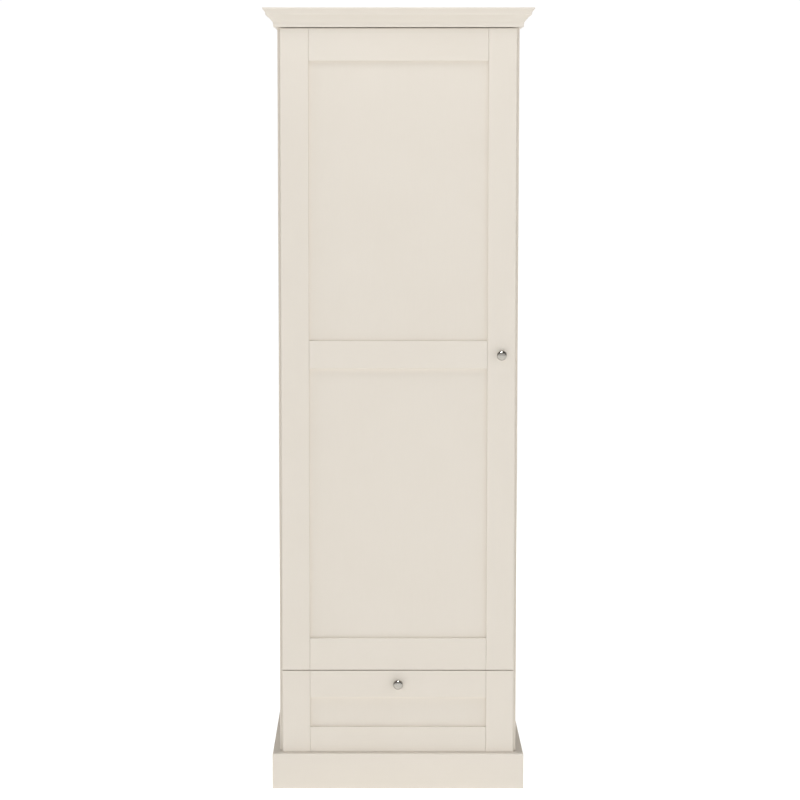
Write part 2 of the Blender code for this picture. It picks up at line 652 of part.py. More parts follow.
def stadium_outline(centre, height, width):
    """Return a closed outline with straight sides and round ends, taller than it is wide."""
    radius = width / 2
    reach = height / 2 - radius
    upper = arc((centre[0], centre[1] + reach), radius, 0, 180, ROUND_STEPS // 2)
    lower = arc((centre[0], centre[1] - reach), radius, 180, 360, ROUND_STEPS // 2)
    return upper + lower


def build_hanging_rail(steel):
    """Oval tube across the inside, held in a socket on each side panel."""
    centre = (FRONT_Y + RAIL_SETBACK, RAIL_LEVEL)
    half = HALF_INSIDE - SOCKET_FLOOR - 2 * CLEARANCE
    outer = stadium_outline(centre, RAIL_TUBE_HEIGHT, RAIL_TUBE_WIDTH)
    bore = -2 * RAIL_TUBE_WALL
    inner = stadium_outline(centre, RAIL_TUBE_HEIGHT + bore, RAIL_TUBE_WIDTH + bore)
    tube = prism("hanging_rail", outer, "X", (-half, half), steel, smooth=True)
    hollow = prism("hanging_rail_hollow", inner, "X", (-half - BOARD, half + BOARD), steel)
    use_tool(tube, hollow, "DIFFERENCE")
    fit = 2 * CLEARANCE
    growth = fit + 2 * SOCKET_WALL
    socket_outline = stadium_outline(centre, RAIL_TUBE_HEIGHT + growth, RAIL_TUBE_WIDTH + growth)
    pocket_outline = stadium_outline(centre, RAIL_TUBE_HEIGHT + fit, RAIL_TUBE_WIDTH + fit)
    for side, sign in (("left", -1), ("right", 1)):
        wall = HALF_INSIDE - CLEARANCE
        limits = (sign * (wall - SOCKET_DEPTH), sign * wall)
        socket = prism("rail_socket_" + side, socket_outline, "X", limits, steel, smooth=True)
        pocket = prism(f"rail_socket_{side}_pocket", pocket_outline, "X",
                       (sign * (wall - SOCKET_DEPTH - BOARD), sign * (wall - SOCKET_FLOOR)), steel)
        use_tool(socket, pocket, "DIFFERENCE")


def build_drawer_box(ply, parent):
    """Four boards grooved for a thin bottom, and that bottom. Return the front board."""
    z = (DRAWER_BOX_Z, DRAWER_BOX_Z + DRAWER_BOX_HEIGHT)
    groove_low = z[0] + DRAWER_BOTTOM_LIFT
    groove_high = groove_low + DRAWER_BOTTOM_THICKNESS + 2 * CLEARANCE
    groove = (groove_low, groove_high, DRAWER_GROOVE_DEPTH)
    inner = HALF_DRAWER_BOX - DRAWER_BOARD
    length = (DRAWER_BOX_FRONT_Y, DRAWER_BOX_BACK_Y)
    side = notched_outline((inner, HALF_DRAWER_BOX), z, {"a_low": groove})
    prism("drawer_box_right", side, "Y", length, ply, parent)
    prism("drawer_box_left", [(-a, b) for a, b in side], "Y", length, ply, parent)
    width = (-inner + CLEARANCE, inner - CLEARANCE)
    front_y = (length[0], length[0] + DRAWER_BOARD)
    back_y = (length[1] - DRAWER_BOARD, length[1])
    front_outline = notched_outline(front_y, z, {"a_high": groove})
    back_outline = notched_outline(back_y, z, {"a_low": groove})
    front = prism("drawer_box_front", front_outline, "X", width, ply, parent)
    prism("drawer_box_back", back_outline, "X", width, ply, parent)
    reach = DRAWER_GROOVE_DEPTH - CLEARANCE
    board("drawer_bottom", (-inner - reach, inner + reach), (front_y[1] - reach, back_y[0] + reach),
          (groove_low + CLEARANCE, groove_high - CLEARANCE), ply, parent)
    return front


def channel_outline(web_x, lip_x, z, half_height):
    """Return a channel with its web at web_x and its two lips reaching to lip_x."""
    inward = math.copysign(RUNNER_WALL, lip_x - web_x)
    low = z - half_height
    high = z + half_height
    return [
        (web_x, low), (lip_x, low), (lip_x, low + RUNNER_WALL), (web_x + inward, low + RUNNER_WALL),
        (web_x + inward, high - RUNNER_WALL), (lip_x, high - RUNNER_WALL), (lip_x, high), (web_x, high),
    ]


def build_runners(steel, parent):
    """Channel on each side panel, with a smaller channel on the drawer that slides inside it."""
    z = DRAWER_BOX_Z + RUNNER_LIFT
    length = (FRONT_Y + RUNNER_SETBACK, DRAWER_BOX_BACK_Y - RUNNER_SETBACK)
    half = RUNNER_HEIGHT / 2
    for side, sign in (("left", -1), ("right", 1)):
        wall = HALF_INSIDE - CLEARANCE
        fixed = channel_outline(sign * wall, sign * (wall - RUNNER_REACH), z, half)
        prism("cabinet_runner_" + side, fixed, "Y", length, steel)
        box_side = HALF_DRAWER_BOX + CLEARANCE
        moving = channel_outline(sign * box_side, sign * (wall - RUNNER_WALL - CLEARANCE), z,
                                 half - RUNNER_WALL - CLEARANCE)
        prism("drawer_runner_" + side, moving, "Y", length, steel, parent)


def build_drawer(paint, ply, metal, steel):
    """Framed drawer front, drawer box, runners and knob."""
    centre = Vector((0.0, FRONT_Y, DRAWER_BOX_Z + RUNNER_LIFT))
    slide = pivot("drawer_slide", centre)
    z = (DRAWER_BOTTOM_Z, DRAWER_TOP_Z)
    bottom = (z[0], z[0] + DRAWER_BOTTOM_RAIL_HEIGHT)
    top = (z[1] - DRAWER_TOP_RAIL_HEIGHT, z[1])
    frame_stile("drawer_front_left_stile", -1, z, paint, slide)
    frame_stile("drawer_front_right_stile", 1, z, paint, slide)
    frame_rail("drawer_front_bottom_rail", bottom, ["b_high"], paint, slide)
    top_rail = frame_rail("drawer_front_top_rail", top, ["b_low"], paint, slide)
    frame_panel("drawer_front_panel", (bottom[1], top[0]), paint, slide)
    box_front = build_drawer_box(ply, slide)
    grip = FRONT_THICKNESS + CLEARANCE + DRAWER_BOARD
    knob_and_screw("drawer_knob", (0.0, DRAWER_KNOB_Z), grip, [top_rail, box_front], metal, steel, slide)
    build_runners(steel, slide)


def main():
    """Build the whole wardrobe."""
    clear_scene()
    paint = finish("cream_paint", (0.76, 0.70, 0.62), 0.45)
    raw_board = finish("white_faced_board", (0.74, 0.71, 0.66), 0.6)
    ply = finish("pale_wood", (0.63, 0.48, 0.31), 0.6)
    metal = finish("satin_nickel", (0.52, 0.49, 0.45), 0.32, 1.0)
    steel = finish("plated_steel", (0.60, 0.60, 0.59), 0.35, 1.0)
    rubber = finish("clear_bumper", (0.70, 0.69, 0.66), 0.5)
    build_sides(paint)
    build_inner_boards(paint, raw_board)
    build_mouldings(paint)
    build_hanging_rail(steel)
    build_door(paint, metal, steel, rubber)
    build_drawer(paint, ply, metal, steel)


main()
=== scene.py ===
"""Looks of a hall wardrobe: one framed door over one framed drawer, painted cream.

Metres, +Z up, front towards -Y. Sizes come from the frame's own boards wherever a piece follows one.
Nearly every new piece is a row of closed outlines, worked out as whole arrays and skinned into one
body. The hinges' arms and links are the frame's own meshes with rounded edges.
"""

import json
import logging
import math
from dataclasses import dataclass, field
from enum import Enum
from functools import cache

import bmesh
import bpy
import numpy as np
from mathutils import Euler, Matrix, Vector

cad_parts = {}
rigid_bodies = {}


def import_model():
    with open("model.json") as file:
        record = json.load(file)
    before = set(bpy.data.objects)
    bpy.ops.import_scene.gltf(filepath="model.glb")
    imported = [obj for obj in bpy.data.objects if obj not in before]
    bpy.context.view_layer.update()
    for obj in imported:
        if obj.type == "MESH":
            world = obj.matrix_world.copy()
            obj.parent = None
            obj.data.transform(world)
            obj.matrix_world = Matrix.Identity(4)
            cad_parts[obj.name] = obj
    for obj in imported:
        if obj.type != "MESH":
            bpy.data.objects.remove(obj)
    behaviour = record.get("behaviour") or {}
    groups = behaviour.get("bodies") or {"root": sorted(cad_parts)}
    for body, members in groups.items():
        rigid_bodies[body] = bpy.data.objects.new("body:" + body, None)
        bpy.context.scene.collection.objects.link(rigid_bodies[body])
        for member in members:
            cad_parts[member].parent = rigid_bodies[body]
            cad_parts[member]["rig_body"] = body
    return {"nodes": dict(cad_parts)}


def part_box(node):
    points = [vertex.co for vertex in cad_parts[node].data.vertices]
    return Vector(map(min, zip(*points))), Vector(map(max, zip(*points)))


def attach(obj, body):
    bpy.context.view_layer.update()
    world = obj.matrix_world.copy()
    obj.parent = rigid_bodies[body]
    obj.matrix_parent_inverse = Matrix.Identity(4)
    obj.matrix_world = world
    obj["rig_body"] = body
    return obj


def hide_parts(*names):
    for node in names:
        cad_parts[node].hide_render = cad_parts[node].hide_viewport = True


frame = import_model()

log = logging.getLogger("wardrobe")

Array = np.ndarray
Span = tuple[float, float]
Groove = tuple[float, float, float]
Colour = tuple[float, float, float]
Socket = bpy.types.NodeSocket
Material = bpy.types.Material

# Clearance between pieces, and how far edges are eased
GAP = 0.0003
EASE = 0.0009
FINE_EASE = 0.0003
LEAST_EASE = FINE_EASE / 3
CORNER_FULLNESS = 1.25

# Roundness of arcs, and how a surface is shaded across its edges
SUPPORT = 0.0002
ARC_STEPS = 4
ROUND_STEPS = 48
SHARP_DEGREES = 35.0
UPRIGHT = 0.9

# Ranges of the finishes' values that are stretched over a whole colour or gloss
WHOLE = (0.0, 1.0)
MIDTONES = (0.35, 0.65)
GLOSS_SWING = (0.3, 0.7)

FORWARDS = Vector((0, -1, 0))
BACKWARDS = Vector((0, 1, 0))
RIGHTWARDS = Vector((1, 0, 0))


class Grain(Enum):
    """Which way fibres and brush marks run: the scale that draws a pattern out along that axis."""

    X = (0.04, 1.0, 1.0)
    Y = (1.0, 0.04, 1.0)
    Z = (1.0, 1.0, 0.04)


class Axis(Enum):
    """Axis along which a section is carried, as the order of (a, b, along) in (x, y, z)."""

    X = (2, 0, 1)
    Y = (0, 2, 1)
    Z = (0, 1, 2)


class Side(Enum):
    """Left or right of the wardrobe, with the sign of x there."""

    LEFT = -1
    RIGHT = 1

    @property
    def word(self) -> str:
        """Name used in the frame's nodes."""
        return self.name.lower()


class Edge(Enum):
    """Edge of a rectangular section, in counter-clockwise order, with the way inwards from it."""

    B_LOW = (0, 1)
    A_HIGH = (-1, 0)
    B_HIGH = (0, -1)
    A_LOW = (1, 0)


# Surfaces


def smooth(mesh: bpy.types.Mesh) -> None:
    """Shade a mesh smooth where neighbouring faces differ by less than SHARP_DEGREES."""
    mesh.shade_smooth()
    mesh.set_sharp_from_angle(angle=math.radians(SHARP_DEGREES))


@dataclass
class Shell:
    """One closed surface: points, faces, and a distance along the turned profile for each point."""

    points: Array
    faces: list[list[int]]
    travel: Array | None = None

    @staticmethod
    def skin(rings: Array, wrap: bool = False, travel: Array | None = None) -> "Shell":
        """Join rows of points into one closed surface.

        Face (i, j) has the corners (i, j), (i, j+1), (i+1, j+1), (i+1, j), with j taken round.

        Args:
            rings: points of shape (rows, columns, 3).
            wrap: join the last row to the first; otherwise each end row is filled by one face.
            travel: distance along the profile for each row.

        Returns:
            The shell.
        """
        rows, columns = rings.shape[:2]
        i, j = np.meshgrid(np.arange(rows if wrap else rows - 1), np.arange(columns), indexing="ij")
        below, above = i * columns, (i + 1) % rows * columns
        ahead = (j + 1) % columns
        quads = np.stack([below + j, below + ahead, above + ahead, above + j], axis=-1).reshape(-1, 4)
        faces = quads.tolist()
        if not wrap:
            faces.append(list(range(columns - 1, -1, -1)))
            faces.append(list(range((rows - 1) * columns, rows * columns)))
        marks = None if travel is None else np.repeat(travel, columns)
        return Shell(rings.reshape(-1, 3), faces, marks)

    @staticmethod
    def join(shells: "list[Shell]") -> "Shell":
        """Put several shells into one, each point's number raised by the points before it.

        Args:
            shells: the shells, which don't touch.

        Returns:
            One shell with all their points and faces.
        """
        starts = np.cumsum([0] + [len(s.points) for s in shells])
        faces = [[int(start) + k for k in f] for s, start in zip(shells, starts) for f in s.faces]
        marks = [np.zeros(len(s.points)) if s.travel is None else s.travel for s in shells]
        return Shell(np.concatenate([s.points for s in shells]), faces, np.concatenate(marks))

    def mesh(self, name: str) -> bpy.types.Mesh:
        """Make a Blender mesh of the shell, with its faces outwards.

        Args:
            name: the mesh's name.

        Returns:
            The mesh.
        """
        made = bpy.data.meshes.new(name)
        made.from_pydata(self.points.tolist(), [], self.faces)
        if self.travel is not None:
            made.attributes.new("travel", "FLOAT", "POINT").data.foreach_set("value", self.travel)
        bm = bmesh.new()
        bm.from_mesh(made)
        bmesh.ops.recalc_face_normals(bm, faces=bm.faces)
        bm.to_mesh(made)
        bm.free()
        smooth(made)
        return made


def unit(vectors: Array) -> Array:
    """Return vectors divided by their lengths."""
    return vectors / np.linalg.norm(vectors, axis=-1, keepdims=True)


def middle(span: Span) -> float:
    """Return the middle of a span."""
    return (span[0] + span[1]) / 2


def length(span: Span) -> float:
    """Return the length of a span."""
    return span[1] - span[0]


def quarter_turn(steps: int, share: float = 1.0) -> Array:
    """Return even turns from 0 to a share of 90 degrees."""
    return np.linspace(0, math.pi / 2 * share, steps + 1)


def whole_turn(steps: int) -> Array:
    """Return even turns once round, the last one left out."""
    return np.linspace(0, 2 * math.pi, steps, endpoint=False)


def shrink(corners: Array, inset: Array) -> Array:
    """Draw a right-angled outline in: p + inset (n before + n after), n being the inward normals.

    Args:
        corners: (count, 2), counter-clockwise.
        inset: any number of insets.

    Returns:
        Corners of shape (insets, count, 2).
    """
    ahead = unit(np.roll(corners, -1, axis=0) - corners)
    inward = np.stack([-ahead[:, 1], ahead[:, 0]], axis=1)
    both = inward + np.roll(inward, 1, axis=0)
    return corners[None] + np.asarray(inset)[:, None, None] * both[None]


def ease(corners: Array, radii: Array) -> Array:
    """Round each right-angled corner p by q = p + r (u + v) - r (v cos t + u sin t).

    u and v are the unit directions to the corners before and after, and t runs from 0 to 90 degrees.
    One more point stands SUPPORT beyond each end of an arc, so that the flats beside it stay flat.

    Args:
        corners: (rings, count, 2).
        radii: (rings, count).

    Returns:
        Outlines of shape (rings, count * (ARC_STEPS + 3), 2).
    """
    u = unit(np.roll(corners, 1, axis=1) - corners)[:, :, None]
    v = unit(np.roll(corners, -1, axis=1) - corners)[:, :, None]
    t = quarter_turn(ARC_STEPS)[None, None, :, None]
    r = radii[:, :, None, None]
    p = corners[:, :, None]
    arcs = p + r * (u + v) - r * (v * np.cos(t) + u * np.sin(t))
    parts = [p + (r + SUPPORT) * u, arcs, p + (r + SUPPORT) * v]
    return np.concatenate(parts, axis=2).reshape(len(corners), -1, 2)


def place(ab: Array, along: Array, axis: Axis) -> Array:
    """Put section points (a, b) at distances along an axis, as points (x, y, z)."""
    reach = np.broadcast_to(np.asarray(along)[:, None, None], ab.shape[:2] + (1,))
    return np.concatenate([ab, reach], axis=2)[:, :, list(axis.value)]


@dataclass
class Section:
    """Right-angled cross-section, counter-clockwise, with its outer corners and grooves eased."""

    corners: Array
    outer: Array
    radius: float = EASE

    @staticmethod
    def plain(corners: Array, radius: float = EASE) -> "Section":
        """Return a section whose corners are all outer ones."""
        return Section(corners, np.full(len(corners), True), radius)

    @staticmethod
    def box(a: Span, b: Span, grooves: dict[Edge, Groove] | None = None, radius: float = EASE) -> "Section":
        """Rectangle with square grooves.

        The walk round it goes up along the first two edges and down along the last two.

        Args:
            a: limits of the first coordinate.
            b: limits of the second coordinate.
            grooves: for each grooved edge, its low limit, high limit and depth.
            radius: how far the outer corners are rounded.

        Returns:
            The section.
        """
        cuts = grooves or {}
        starts = [(a[0], b[0]), (a[1], b[0]), (a[1], b[1]), (a[0], b[1])]
        rows: list[tuple[float, float, bool]] = []
        for edge, (p, q) in zip(Edge, starts):
            rows.append((p, q, True))
            if edge in cuts:
                in_a, in_b = edge.value
                low, high, deep = cuts[edge]
                first, last = (low, high) if in_b > in_a else (high, low)
                for at, sunk in ((first, 0.0), (first, deep), (last, deep), (last, 0.0)):
                    rows.append((p + in_a * sunk, at, False) if in_a else (at, q + in_b * sunk, False))
        table = np.array(rows, float)
        return Section(table[:, :2], table[:, 2] > 0, radius)

    def carried(self, ends: Span, axis: Axis) -> Shell:
        """Carry the section between two ends, and round it over at both.

        At a turn t from 0 to 90 degrees the outline is drawn in by r (1 - sin t), at r (1 - cos t)
        from the end, and its corners keep a radius of CORNER_FULLNESS r less that inset.

        Args:
            ends: where it starts and ends.
            axis: along which it is carried.

        Returns:
            The shell.
        """
        r = self.radius
        t = quarter_turn(ARC_STEPS)
        inset = np.concatenate([[r + SUPPORT], r * (1 - np.sin(t)), [0.0]])
        off = np.concatenate([[0.0], r * (1 - np.cos(t)), [r + SUPPORT]])
        insets = np.concatenate([inset, inset[::-1]])
        stations = np.concatenate([ends[0] + off, ends[1] - off[::-1]])
        full = np.where(self.outer, CORNER_FULLNESS * r, FINE_EASE)[None]
        radii = np.maximum(full - np.where(self.outer, insets[:, None], 0.0), LEAST_EASE)
        return Shell.skin(place(ease(shrink(self.corners, insets), radii), stations, axis))


def round_line(facing: Vector, turns: Array) -> tuple[Array, Array]:
    """Work out the directions of points round a line.

    Args:
        facing: the line's unit direction f.
        turns: angles w about it.

    Returns:
        f, and e1 cos w + e2 sin w for each angle, where f, e1 and e2 are square to each other.
    """
    f = np.array(facing, float)
    e1 = np.array([0.0, 0.0, 1.0]) if abs(f[2]) < UPRIGHT else np.array([1.0, 0.0, 0.0])
    e2 = np.cross(f, e1)
    return f, np.cos(turns)[:, None] * e1 + np.sin(turns)[:, None] * e2


def turned(profile: Array, centre: Vector, facing: Vector, steps: int = ROUND_STEPS) -> Shell:
    """Turn a profile about a line: c + f h + r (e1 cos w + e2 sin w), w going once round.

    Args:
        profile: (radius, height) rows; the end rows are closed by a face each.
        centre: where height is 0.
        facing: unit direction in which height grows.
        steps: points round the line.

    Returns:
        The shell, with the distance along the profile kept for each point.
    """
    f, circle = round_line(facing, whole_turn(steps))
    rings = np.array(centre) + profile[:, 1][:, None, None] * f + profile[:, 0][:, None, None] * circle
    travel = np.concatenate([[0.0], np.cumsum(np.linalg.norm(np.diff(profile, axis=0), axis=1))])
    return Shell.skin(rings, travel=travel)


def bowed(start: Span, end: Span, sag: float, steps: int = 12) -> Array:
    """Draw a line that is drawn back by sag sin(pi t) in its first coordinate.

    Args:
        start: first profile point.
        end: last profile point.
        sag: how far the middle is drawn back.
        steps: stretches along it.

    Returns:
        Profile points.
    """
    t = np.linspace(0, 1, steps + 1)
    first = start[0] + (end[0] - start[0]) * t - sag * np.sin(math.pi * t)
    return np.column_stack([first, start[1] + (end[1] - start[1]) * t])


def quarter_ellipse(start: Span, end: Span, steps: int = 10) -> Array:
    """Draw a quarter ellipse: the first coordinate goes by 1 - cos t, the second by sin t.

    Args:
        start: first profile point.
        end: last profile point.
        steps: stretches along it.

    Returns:
        Profile points.
    """
    t = quarter_turn(steps)
    first = start[0] + (end[0] - start[0]) * (1 - np.cos(t))
    return np.column_stack([first, start[1] + (end[1] - start[1]) * np.sin(t)])


# Finishes


class Wiring:
    """Adds nodes to a shader tree and joins them."""

    def __init__(self, tree: bpy.types.NodeTree) -> None:
        """Keep the tree."""
        self.tree = tree

    def add(self, kind: str, inputs: dict | None = None, **settings: object) -> bpy.types.Node:
        """Add a node.

        Args:
            kind: the node's type without its ShaderNode prefix.
            inputs: for each input, a value or the socket that feeds it.
            settings: the node's own properties.

        Returns:
            The node.
        """
        node = self.tree.nodes.new("ShaderNode" + kind)
        for key, value in settings.items():
            setattr(node, key, value)
        for key, value in (inputs or {}).items():
            if isinstance(value, Socket):
                self.tree.links.new(value, node.inputs[key])
            else:
                node.inputs[key].default_value = value
        return node

    def noise(self, vector: Socket, scale: Socket | float, detail: float, distortion: float = 0.0) -> Socket:
        """Return noise of a given scale, in cells for each metre."""
        inputs = {"Vector": vector, "Scale": scale, "Detail": detail, "Distortion": distortion}
        return self.add("TexNoise", inputs).outputs["Fac"]

    def math(self, operation: str, *values: Socket | float) -> Socket:
        """Return the result of an operation on one or more values."""
        return self.add("Math", dict(enumerate(values)), operation=operation).outputs[0]

    def share(self, first: Socket, second: Socket, part: float) -> Socket:
        """Return the first value times part, plus the second times the rest."""
        return self.math("ADD", self.math("MULTIPLY", first, part), self.math("MULTIPLY", second, 1 - part))

    def remap(self, value: Socket, source: Span, target: Span) -> Socket:
        """Return a value stretched from one range to another, and clamped to it."""
        limits = {"From Min": source[0], "From Max": source[1], "To Min": target[0], "To Max": target[1]}
        return self.add("MapRange", {"Value": value, **limits}).outputs["Result"]

    def between(self, part: Socket, first: Socket | float, second: Socket | float) -> Socket:
        """Return the first value where part is 0 and the second where it is 1."""
        return self.add("Mix", {"Factor": part, "A": first, "B": second}, data_type="FLOAT").outputs[0]

    def blend(self, part: Socket, first: Socket | Colour, second: Socket | Colour) -> Socket:
        """Blend two colours, through the colour sockets that the mixing node has besides its others.

        Args:
            part: how much of the second shows.
            first: a colour, or the socket that gives it.
            second: another.

        Returns:
            The socket with the blend.
        """
        factor, first_colour, second_colour, result = 0, 6, 7, 2
        inputs: dict[int, object] = {factor: part}
        for key, value in ((first_colour, first), (second_colour, second)):
            inputs[key] = value if isinstance(value, Socket) else (*value, 1.0)
        return self.add("Mix", inputs, data_type="RGBA", clamp_factor=True).outputs[result]


@dataclass
class Effect:
    """Shader group that several finishes share."""

    tree: bpy.types.NodeTree
    wiring: Wiring
    given: bpy.types.Node
    result: bpy.types.Node

    @staticmethod
    def open(name: str, inputs: dict[str, float | None], outputs: list[str]) -> "Effect":
        """Start a group.

        Args:
            name: the group's name.
            inputs: default of each input; None makes it a vector.
            outputs: names of the values that it gives.

        Returns:
            The effect, ready for its nodes.
        """
        tree = bpy.data.node_groups.new(name, "ShaderNodeTree")
        for key, value in inputs.items():
            kind = "NodeSocketVector" if value is None else "NodeSocketFloat"
            socket = tree.interface.new_socket(name=key, in_out="INPUT", socket_type=kind)
            if value is not None:
                socket.default_value = value
        for key in outputs:
            tree.interface.new_socket(name=key, in_out="OUTPUT", socket_type="NodeSocketFloat")
        given, result = tree.nodes.new("NodeGroupInput"), tree.nodes.new("NodeGroupOutput")
        return Effect(tree, Wiring(tree), given, result)

    def give(self, **values: Socket) -> bpy.types.NodeTree:
        """Join values to the group's output.

        Args:
            values: the socket for each of the output's names.

        Returns:
            The group.
        """
        for key, value in values.items():
            self.tree.links.new(value, self.result.inputs[key])
        return self.tree


@cache
def coat_marks() -> bpy.types.NodeTree:
    """Make the marks of a rolled and brushed coat.

    Height is 0.6 drawn-out noise plus 0.4 fine peel. Tone is slow drift with a little of the marks.

    Returns:
        The group.
    """
    inputs = {"Place": None, "Drawn": None, "Peel": 900.0, "Marks": 520.0, "Drift": 5.0}
    effect = Effect.open("coat_marks", inputs, ["Height", "Tone", "Gloss"])
    w, given = effect.wiring, effect.given.outputs
    marks = w.noise(given["Drawn"], given["Marks"], detail=3.0)
    peel = w.noise(given["Place"], given["Peel"], detail=1.0)
    drift = w.noise(given["Place"], given["Drift"], detail=3.0)
    height = w.share(marks, peel, part=0.6)
    tone = w.share(drift, marks, part=0.7)
    gloss = w.share(peel, drift, part=0.35)
    return effect.give(Height=height, Tone=tone, Gloss=gloss)


@cache
def timber() -> bpy.types.NodeTree:
    """Make the grain of sawn timber.

    Rings are the sine of slow drawn-out noise times Rings, fibres are fine drawn-out noise, and pores
    are the darkest of the fibres.

    Returns:
        The group.
    """
    inputs = {"Drawn": None, "Spread": 9.0, "Rings": 46.0, "Fibres": 1100.0}
    effect = Effect.open("timber", inputs, ["Ring", "Pore", "Height"])
    w, given = effect.wiring, effect.given.outputs
    pore_band = (0.44, 0.30)
    slow = w.noise(given["Drawn"], given["Spread"], detail=2.0, distortion=0.3)
    ring = w.math("MULTIPLY_ADD", w.math("SINE", w.math("MULTIPLY", slow, given["Rings"])), 0.5, 0.5)
    fibre = w.noise(given["Drawn"], given["Fibres"], detail=3.0)
    pore = w.remap(fibre, pore_band, WHOLE)
    height = w.math("SUBTRACT", w.math("MULTIPLY", fibre, 0.5), w.math("MULTIPLY", pore, 0.5))
    return effect.give(Ring=ring, Pore=pore, Height=height)


@cache
def rubbed() -> bpy.types.NodeTree:
    """Make fine rubbing on metal: drawn-out noise as height, and slow noise as the change of gloss.

    Returns:
        The group.
    """
    inputs = {"Place": None, "Drawn": None, "Lines": 2600.0, "Cloud": 120.0}
    effect = Effect.open("rubbed", inputs, ["Height", "Gloss"])
    w, given = effect.wiring, effect.given.outputs
    lines = w.noise(given["Drawn"], given["Lines"], detail=2.0)
    cloud = w.noise(given["Place"], given["Cloud"], detail=3.0)
    return effect.give(Height=lines, Gloss=w.share(lines, cloud, part=0.4))


@dataclass
class Draft:
    """Material in the making, with the sockets Place and Drawn of the object's coordinates."""

    material: Material
    wiring: Wiring
    places: dict[str, Socket]

    @staticmethod
    def open(name: str, grain: Grain) -> "Draft":
        """Start a material.

        Args:
            name: the material's name, without its grain.
            grain: which way its pattern is drawn out.

        Returns:
            The draft.
        """
        material = bpy.data.materials.new(f"{name}_{grain.name.lower()}")
        material.use_nodes = True
        wiring = Wiring(material.node_tree)
        coordinates = wiring.add("TexCoord").outputs["Object"]
        drawn = wiring.add("Mapping", {"Vector": coordinates, "Scale": grain.value}).outputs[0]
        return Draft(material, wiring, {"Place": coordinates, "Drawn": drawn})

    @property
    def shader(self) -> bpy.types.Node:
        """The material's own shader."""
        return self.material.node_tree.nodes["Principled BSDF"]

    def use(self, group: bpy.types.NodeTree, **values: float) -> bpy.types.NodeOutputs:
        """Place a shared group in the material.

        Args:
            group: the group.
            values: its inputs that differ from their defaults.

        Returns:
            What it gives.
        """
        node = self.wiring.add("Group", node_tree=group)
        for key, socket in self.places.items():
            if key in node.inputs:
                self.wiring.tree.links.new(socket, node.inputs[key])
        for key, value in values.items():
            node.inputs[key].default_value = value
        return node.outputs

    def close(self, colour: Socket, roughness: Socket, height: Socket, relief: float,
              **plain: object) -> Material:
        """Feed the material's shader.

        Args:
            colour: socket for Base Color.
            roughness: socket for Roughness.
            height: socket for the bump's height.
            relief: depth of the bump in metres.
            plain: values that are the same all over, by the shader's own names with _ for a space.

        Returns:
            The material.
        """
        bump = self.wiring.add("Bump", {"Height": height, "Strength": 1.0, "Distance": relief})
        fed = {"Base Color": colour, "Roughness": roughness, "Normal": bump.outputs["Normal"]}
        for key, socket in fed.items():
            self.wiring.tree.links.new(socket, self.shader.inputs[key])
        for key, value in plain.items():
            self.shader.inputs[key.replace("_", " ")].default_value = value
        return self.material


@dataclass(frozen=True)
class Paint:
    """Satin paint over board, with faint marks of the roller and of the board below."""

    name: str
    light: Colour
    shade: Colour
    gloss: Span = (0.38, 0.50)
    relief: float = 0.00003
    slot: str = "cream_paint"

    @cache
    def material(self, grain: Grain) -> Material:
        """Make the paint.

        Args:
            grain: which way its marks run.

        Returns:
            The material.
        """
        draft = Draft.open(self.name, grain)
        w, marks = draft.wiring, draft.use(coat_marks())
        colour = w.blend(w.remap(marks["Tone"], MIDTONES, WHOLE), self.shade, self.light)
        roughness = w.remap(marks["Gloss"], GLOSS_SWING, self.gloss)
        return draft.close(colour, roughness, marks["Height"], self.relief)


@dataclass(frozen=True)
class Timber:
    """Clear-coated pale timber of the drawer box."""

    name: str
    early: Colour
    late: Colour
    pore: Colour
    pore_depth: float = 0.5
    gloss: Span = (0.36, 0.55)
    relief: float = 0.00006
    slot: str = "drawer_wood"

    @cache
    def material(self, grain: Grain) -> Material:
        """Make the timber.

        Args:
            grain: which way it runs.

        Returns:
            The material.
        """
        draft = Draft.open(self.name, grain)
        w, wood = draft.wiring, draft.use(timber())
        ringed = w.blend(wood["Ring"], self.early, self.late)
        colour = w.blend(w.math("MULTIPLY", wood["Pore"], self.pore_depth), ringed, self.pore)
        roughness = w.remap(wood["Ring"], WHOLE, self.gloss)
        return draft.close(colour, roughness, wood["Height"], self.relief)


@dataclass(frozen=True)
class FacedBoard:
    """Thin pressed board with a pale printed face, mottled by its short fibres."""

    name: str
    light: Colour
    fleck: Colour
    fleck_scale: float = 620.0
    fleck_band: Span = (0.54, 0.68)
    fleck_depth: float = 0.55
    tone_depth: float = 0.25
    gloss: Span = (0.50, 0.66)
    relief: float = 0.00004
    slot: str = "back_board"

    @cache
    def material(self, grain: Grain) -> Material:
        """Make the board's face.

        Args:
            grain: which way its marks run.

        Returns:
            The material.
        """
        draft = Draft.open(self.name, grain)
        w, marks = draft.wiring, draft.use(coat_marks(), Peel=1500.0, Marks=240.0, Drift=14.0)
        spots = w.noise(draft.places["Place"], self.fleck_scale, detail=4.0)
        flecks = w.remap(spots, self.fleck_band, (0.0, self.fleck_depth))
        tone = w.math("MULTIPLY", marks["Tone"], self.tone_depth)
        colour = w.blend(w.math("ADD", flecks, tone), self.light, self.fleck)
        roughness = w.remap(marks["Gloss"], GLOSS_SWING, self.gloss)
        return draft.close(colour, roughness, marks["Height"], self.relief)


